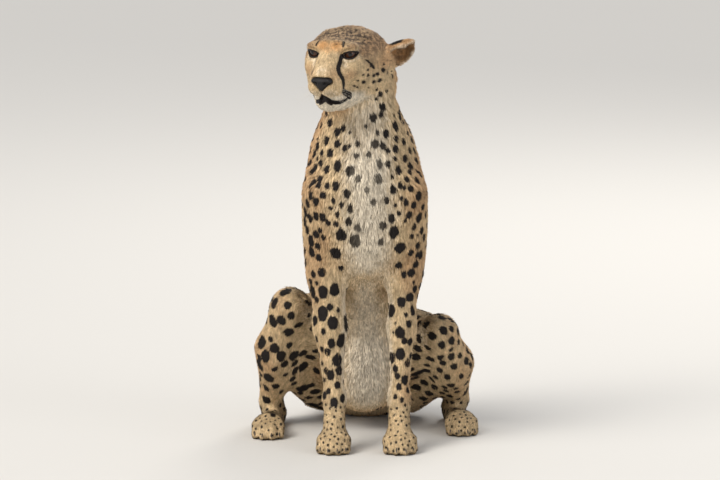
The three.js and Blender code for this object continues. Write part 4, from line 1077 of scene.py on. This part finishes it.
def refined(name, node, stuff, slot_name, voxel, rounds):
    """A smoother copy of a solid, in its place."""
    made = remeshed(name, *gathered([node], lambda _: 0)[:2], voxel)
    redraw(made.data, Web(made.data).spread(points_of(made.data), rounds))
    dress(made, stuff, slot_name, node)
    return made


nose = refined("nose_pad", "nose", leather, "nose_leather", voxel=.0008, rounds=5)
print("nose", len(nose.data.vertices), "points")

# %% Claws
horn, t, finish = material("claw_horn")
horn_grain = t.ramp(t.grain(300, 2, (1, 1, .2)), .35, .65)
t.fill(finish, Base_Color=t.blend(horn_grain, paint("2b2420"), paint("5c5046")), Roughness=.38)
claws = sorted(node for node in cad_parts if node.startswith("claw"))
for node in claws:
    refined(node.replace("claw", "horn"), node, horn, "claw", voxel=.0007, rounds=4)
print(len(claws), "claws refined")

# %% [markdown]
# ## Tufts
# A tuft is a slim leaf of solid mesh, three sided, rooted in the skin, leaning along the way of the hair and
# ending in a point: a short one is a straight spike, a long one is widest a little above its root and bent
# over. They are built thousands at a time as arrays. Face and feet have the smallest and closest, the throat,
# chest and tail tip the longest. Their corners borrow the skin's own direction for shading, so that the coat
# reads as one soft surface and not as chips.

# %% Building tufts
# each corner of a tuft: side, height, ring; each ring: share of the length, of the rise and of the width
STRAIGHT = dict(corners=[(-1, 0, 0), (1, 0, 0), (0, 1, 0), (0, 0, 1)], rings=[(0, 0, 1), (1, 1, 0)],
                faces=[(0, 1, 3), (1, 2, 3), (2, 0, 3), (2, 1, 0)],
                patch=[(-1, -1), (1, -1), (0, -.4), (0, 1)])
BENT = dict(corners=[(-1, 0, 0), (1, 0, 0), (0, 1, 0), (-1, 0, 1), (1, 0, 1), (0, 1, 1), (0, 0, 2)],
            rings=[(0, 0, .8), (.45, .66, 1), (1, .9, 0)],
            faces=[(0, 1, 4, 3), (1, 2, 5, 4), (2, 0, 3, 5), (3, 4, 6), (4, 5, 6), (5, 3, 6), (2, 1, 0)],
            patch=[(-1, -1), (1, -1), (0, -.5), (-.8, 0), (.8, 0), (0, .35), (0, 1)])
PATCH = .0015  # half the width of a tuft's patch on the skin's flat map
coat_pieces = []


def tufts(name, form, root, normal, direction, length, width, rise, uv, values, stuff):
    """Joins one mesh of tufts. root, normal and direction are rows; length, width and rise are one a tuft.
    A value is one a tuft, or a row of one a ring."""
    count, size = len(root), len(form["corners"])
    across = np.cross(normal, direction)
    shape = np.array(form["corners"], float)
    p = np.empty((count, size, 3))
    for k, (side, high, ring) in enumerate(form["corners"]):
        run, lift, wide = form["rings"][ring]
        out = width * wide * .5
        sunk = np.minimum(length * .12, .0008) * (ring == 0)
        p[:, k] = root + direction * (length * run)[:, None] + across * (side * out)[:, None]
        p[:, k] += normal * (length * rise * lift + high * out * .9 - sunk)[:, None]
    corner = np.concatenate([np.array(f) for f in form["faces"]])
    sizes = np.array([len(f) for f in form["faces"]])
    starts = np.concatenate([[0], np.cumsum(sizes)[:-1]])
    step_on = np.arange(count)[:, None]
    mesh = bpy.data.meshes.new(name)
    mesh.vertices.add(count * size)
    mesh.vertices.foreach_set("co", p.astype(np.float32).ravel())
    mesh.loops.add(count * len(corner))
    mesh.loops.foreach_set("vertex_index", (corner + size * step_on).astype(np.int32).ravel())
    mesh.polygons.add(count * len(sizes))
    mesh.polygons.foreach_set("loop_start", (starts + len(corner) * step_on).astype(np.int32).ravel())
    mesh.polygons.foreach_set("use_smooth", np.ones(count * len(sizes), bool))
    mesh.update(calc_edges=True)
    own = across[:, None] * shape[None, :, :1] + normal[:, None] * (shape[None, :, 1:2] - .25)
    soft = unit(normal[:, None] * .85 + own * .38 - direction[:, None] * .08)
    mesh.normals_split_custom_set_from_vertices(soft.reshape(-1, 3).astype(np.float32))
    ring_of = [ring for _, _, ring in form["corners"]]
    for label, v in values.items():
        carry(mesh, **{label: np.repeat(v, size) if v.ndim == 1 else v[:, ring_of].ravel()})
    patch = np.array(form["patch"], float) * PATCH
    layer = mesh.uv_layers.new(name="OFBake")
    layer.data.foreach_set("uv", (uv[:, None] + patch[None])[:, corner].astype(np.float32).ravel())
    dress(set_up(name, mesh), stuff, "coat")
    coat_pieces.append(mesh)


coat, t, finish = material("short_coat")
t.fill(finish, Base_Color=t.use(markings, Streaks=.4)["Colour"], Roughness=.72, Specular_IOR_Level=.28)
print("short coat:", len(t.tree.nodes), "nodes")

# %% Where tufts stand
def cubes(places, size):
    """One number for each small cube of space, the same for all places in it."""
    large_primes = np.array([73856093, 19349663, 83492791])
    return (np.floor(places / size).astype(np.int64) * large_primes).sum(1)


# the distance between tufts in mm, which is also their width
thick = by_home(homes(points), [("head", 1.1), ("ear", 1.2), ("paw", 1.65), ("hind_foot", 1.8),
                                ("forearm", 1.9), ("shank", 2.05), ("neck", 2.25), ("tail", 2.3)], 2.4)
thick = web.spread(thick, 5)
TRIES_PER_TUFT = 2.4
skin_corners = triangles_of(skin_mesh)
loops = read(skin_mesh.loop_triangles, "loops", 3, np.int32)
cell = thick[skin_corners].mean(1) * MM
wanted = areas(points, skin_corners) / np.square(cell)
chosen, shares = strewn(wanted, int(wanted.sum() * TRIES_PER_TUFT))
places, cell = mixed(points, skin_corners[chosen], shares), cell[chosen]
keys = cubes(places, cell[:, None]) * 40 + np.rint(cell / MM * 4).astype(np.int64)
first = np.sort(np.unique(keys, return_index=True)[1])
chosen, shares, places = chosen[first], shares[first], places[first]
print(len(places), "tufts")

# the lids and lips stay bare
edge = mixed(slit_gap, skin_corners[chosen], shares)
mouth_gap = mouth_edge(mirrored(to_head(places)))
mouth_gap = np.minimum(mixed(lining, skin_corners[chosen], shares), mouth_gap)
root_name = flesh_names[homes(places)]
clear = (edge > 3.2) & (mouth_gap > -.6)
chosen, shares, places, root_name = chosen[clear], shares[clear], places[clear], root_name[clear]
edge, mouth_gap, corners, count = edge[clear], mouth_gap[clear], skin_corners[chosen], len(places)
root_normal, root_way = unit(mixed(normals, corners, shares)), mixed(way, corners, shares)
root_uv = np.einsum("ij,ij...->i...", shares, skin_uv[loops[chosen]])
print(count, "of them on the coat")

# %% Their sizes and values
length = mixed(hair, corners, shares) * random.uniform(.75, 1.25, count) * (.45 + .55 * step(edge, 3, 9)) * MM
length *= .4 + .6 * step(mouth_gap, 0, 8)

# neighbours lean together into small locks, the more the longer they are
LOCK = 6.5 * MM
lock_first = np.unique(cubes(places, LOCK), return_index=True)[1]
lock_tree = tree_of(places[lock_first])
lock = np.array([lock_tree.find(p)[1] for p in places.tolist()])
locks = len(lock_first)
lean = .6 * step(length, .006, .014)
inward = flat_to(places[lock_first][lock] - places, root_normal)
lock_turn = random.normal(0, .16, locks)[lock] + random.normal(0, .12, count)
root_way = unit(flat_to(root_way, root_normal)) + lock_turn[:, None] * np.cross(root_normal, root_way)
root_way = unit(flat_to(root_way + inward * (lean / length)[:, None], root_normal))
width = np.clip(mixed(thick, corners, shares) * (1 - .22 * step(length, .008, .014)), .8, 2.4)
width = width * random.uniform(.75, 1.25, count) * MM
rise = LIFT * .8 * random.uniform(.7, 1.3, count) * (1 + random.normal(0, .16, locks)[lock])
shown = [places + root_way * (length * share)[:, None] for share in (.35, .6, .88)]
near = near_spots(shown[1])
carried = dict(spot=np.stack([spot_edge(p, near) for p in shown], 1),
               line=np.stack([face_edge(p, root_normal) for p in shown], 1),
               tint=random.normal(0, .24, count) + random.normal(0, .2, locks)[lock])
for label, values in dict(pale=pale, warm=warm, grey=grey, gold=gold).items():
    carried[label] = mixed(values, corners, shares)
print(locks, "locks")

# %% Joining them
GROUPS = {"head": "head", "ears": "ear", "neck": "neck", "chest": "chest", "loins": "loins", "rump": "rump",
          "tail": "tail", "arm_left": "upper_arm_left forearm_left",
          "arm_right": "upper_arm_right forearm_right", "thigh_left": "thigh_left shank_left",
          "thigh_right": "thigh_right shank_right", "feet": "paw hind_foot"}
LONG = 11.5 * MM  # from this length on, hair is bent
MOST = {True: 19500, False: 49000}  # tufts in a piece, bent ones and others
for label, beginnings in GROUPS.items():
    mine = begins(root_name, *beginnings.split())
    for bent, form, reach in ((False, STRAIGHT, "short"), (True, BENT, "long")):
        some = np.flatnonzero(mine & ((length > LONG) == bent))
        some = some[np.argsort(places[some, 2], kind="stable")]
        rings = (0, 1, 2) if bent else (0, 2)
        for k, part in enumerate(np.array_split(some, max(1, math.ceil(len(some) / MOST[bent])))):
            if len(part):
                values = {name: v[part] if v.ndim == 1 else v[part][:, rings] for name, v in carried.items()}
                tufts(f"coat_{label}_{reach}_{k + 1}", form, places[part], root_normal[part], root_way[part],
                      length[part], width[part], rise[part], root_uv[part], values, coat)
                print("coat", label, reach, len(part), "tufts")
print("coat:", sum(len(triangles_of(mesh)) for mesh in coat_pieces), "triangles")

# %% [markdown]
# ## Whiskers
# Fine pale bristles stand in rows on the whisker pads and a few above the eyes. Each is a thin tapered tube
# with a slow droop, rooted in the skin.

# %% Whiskers
bristle, t, finish = material("whisker")
t.fill(finish, Base_Color=t.blend(t.grain(40, 1), paint("c9bda9"), paint("e4dccd")), Roughness=.4)
PARTS, SIDES = 7, 4
TUBE = [(4 * i + k, 4 * i + (k + 1) % 4, 4 * i + (k + 1) % 4 + 4, 4 * i + k + 4)
        for i in range(PARTS) for k in range(SIDES)]
TUBE += [(3, 2, 1, 0), tuple(4 * PARTS + k for k in range(SIDES))]


def whisker(base, direction, length, thickness, droop):
    """The points of one whisker, ring after ring from its root."""
    at, n, _, _ = skin_tree.find_nearest(base.tolist())
    n = np.array(n)
    root, direction = np.array(at) - n * MM, unit(direction(n))
    side = unit(np.cross(direction, (0, 0, 1)))
    over = unit(np.cross(side, direction))
    q, w = np.arange(PARTS + 1)[:, None, None] / PARTS, math.pi * np.arange(SIDES)[:, None] / 2
    line = root + direction * length * q + np.array((0, 0, -1)) * droop * length * q * q
    return (line + (side * np.cos(w) + over * np.sin(w)) * thickness * (1 - .92 * q) / 2).reshape(-1, 3)


skin_tree = surface(points, skin_corners)
PADS = [(56, 17, -57, 3), (52, 20, -63, 4), (47, 22, -69, 4), (45, 23, -75, 3)]
for label, s in (("left", 1), ("right", -1)):
    hairs = []
    for f, l, u, many in PADS:
        for i in range(many):
            base = from_head(f - 5.2 * i, s * (l + 2.9 * i), u + 1.2 * i)
            sag = random.uniform(0, 2)
            hairs.append(whisker(base, lambda n: n * .75 + LEFT * s * .75 - FORWARD * .35 - UP * .12 * sag,
                                 random.uniform(.026, .048), .0003, random.uniform(.1, .3)))
    for i in range(3):
        base = from_head(2 - 3 * i, s * (27 + 5 * i), 15)
        hairs.append(whisker(base, lambda n: n + UP * .8 + LEFT * s * .3,
                             random.uniform(.018, .026), .0004, .2))
    faces = [tuple(len(hairs[0]) * i + k for k in face) for i in range(len(hairs)) for face in TUBE]
    mesh = bpy.data.meshes.new("whiskers_" + label)
    mesh.from_pydata(np.vstack(hairs).tolist(), [], faces)
    dress(set_up("whiskers_" + label, mesh), bristle, "coat", smooth=False)
print(len(hairs), "whiskers a side")
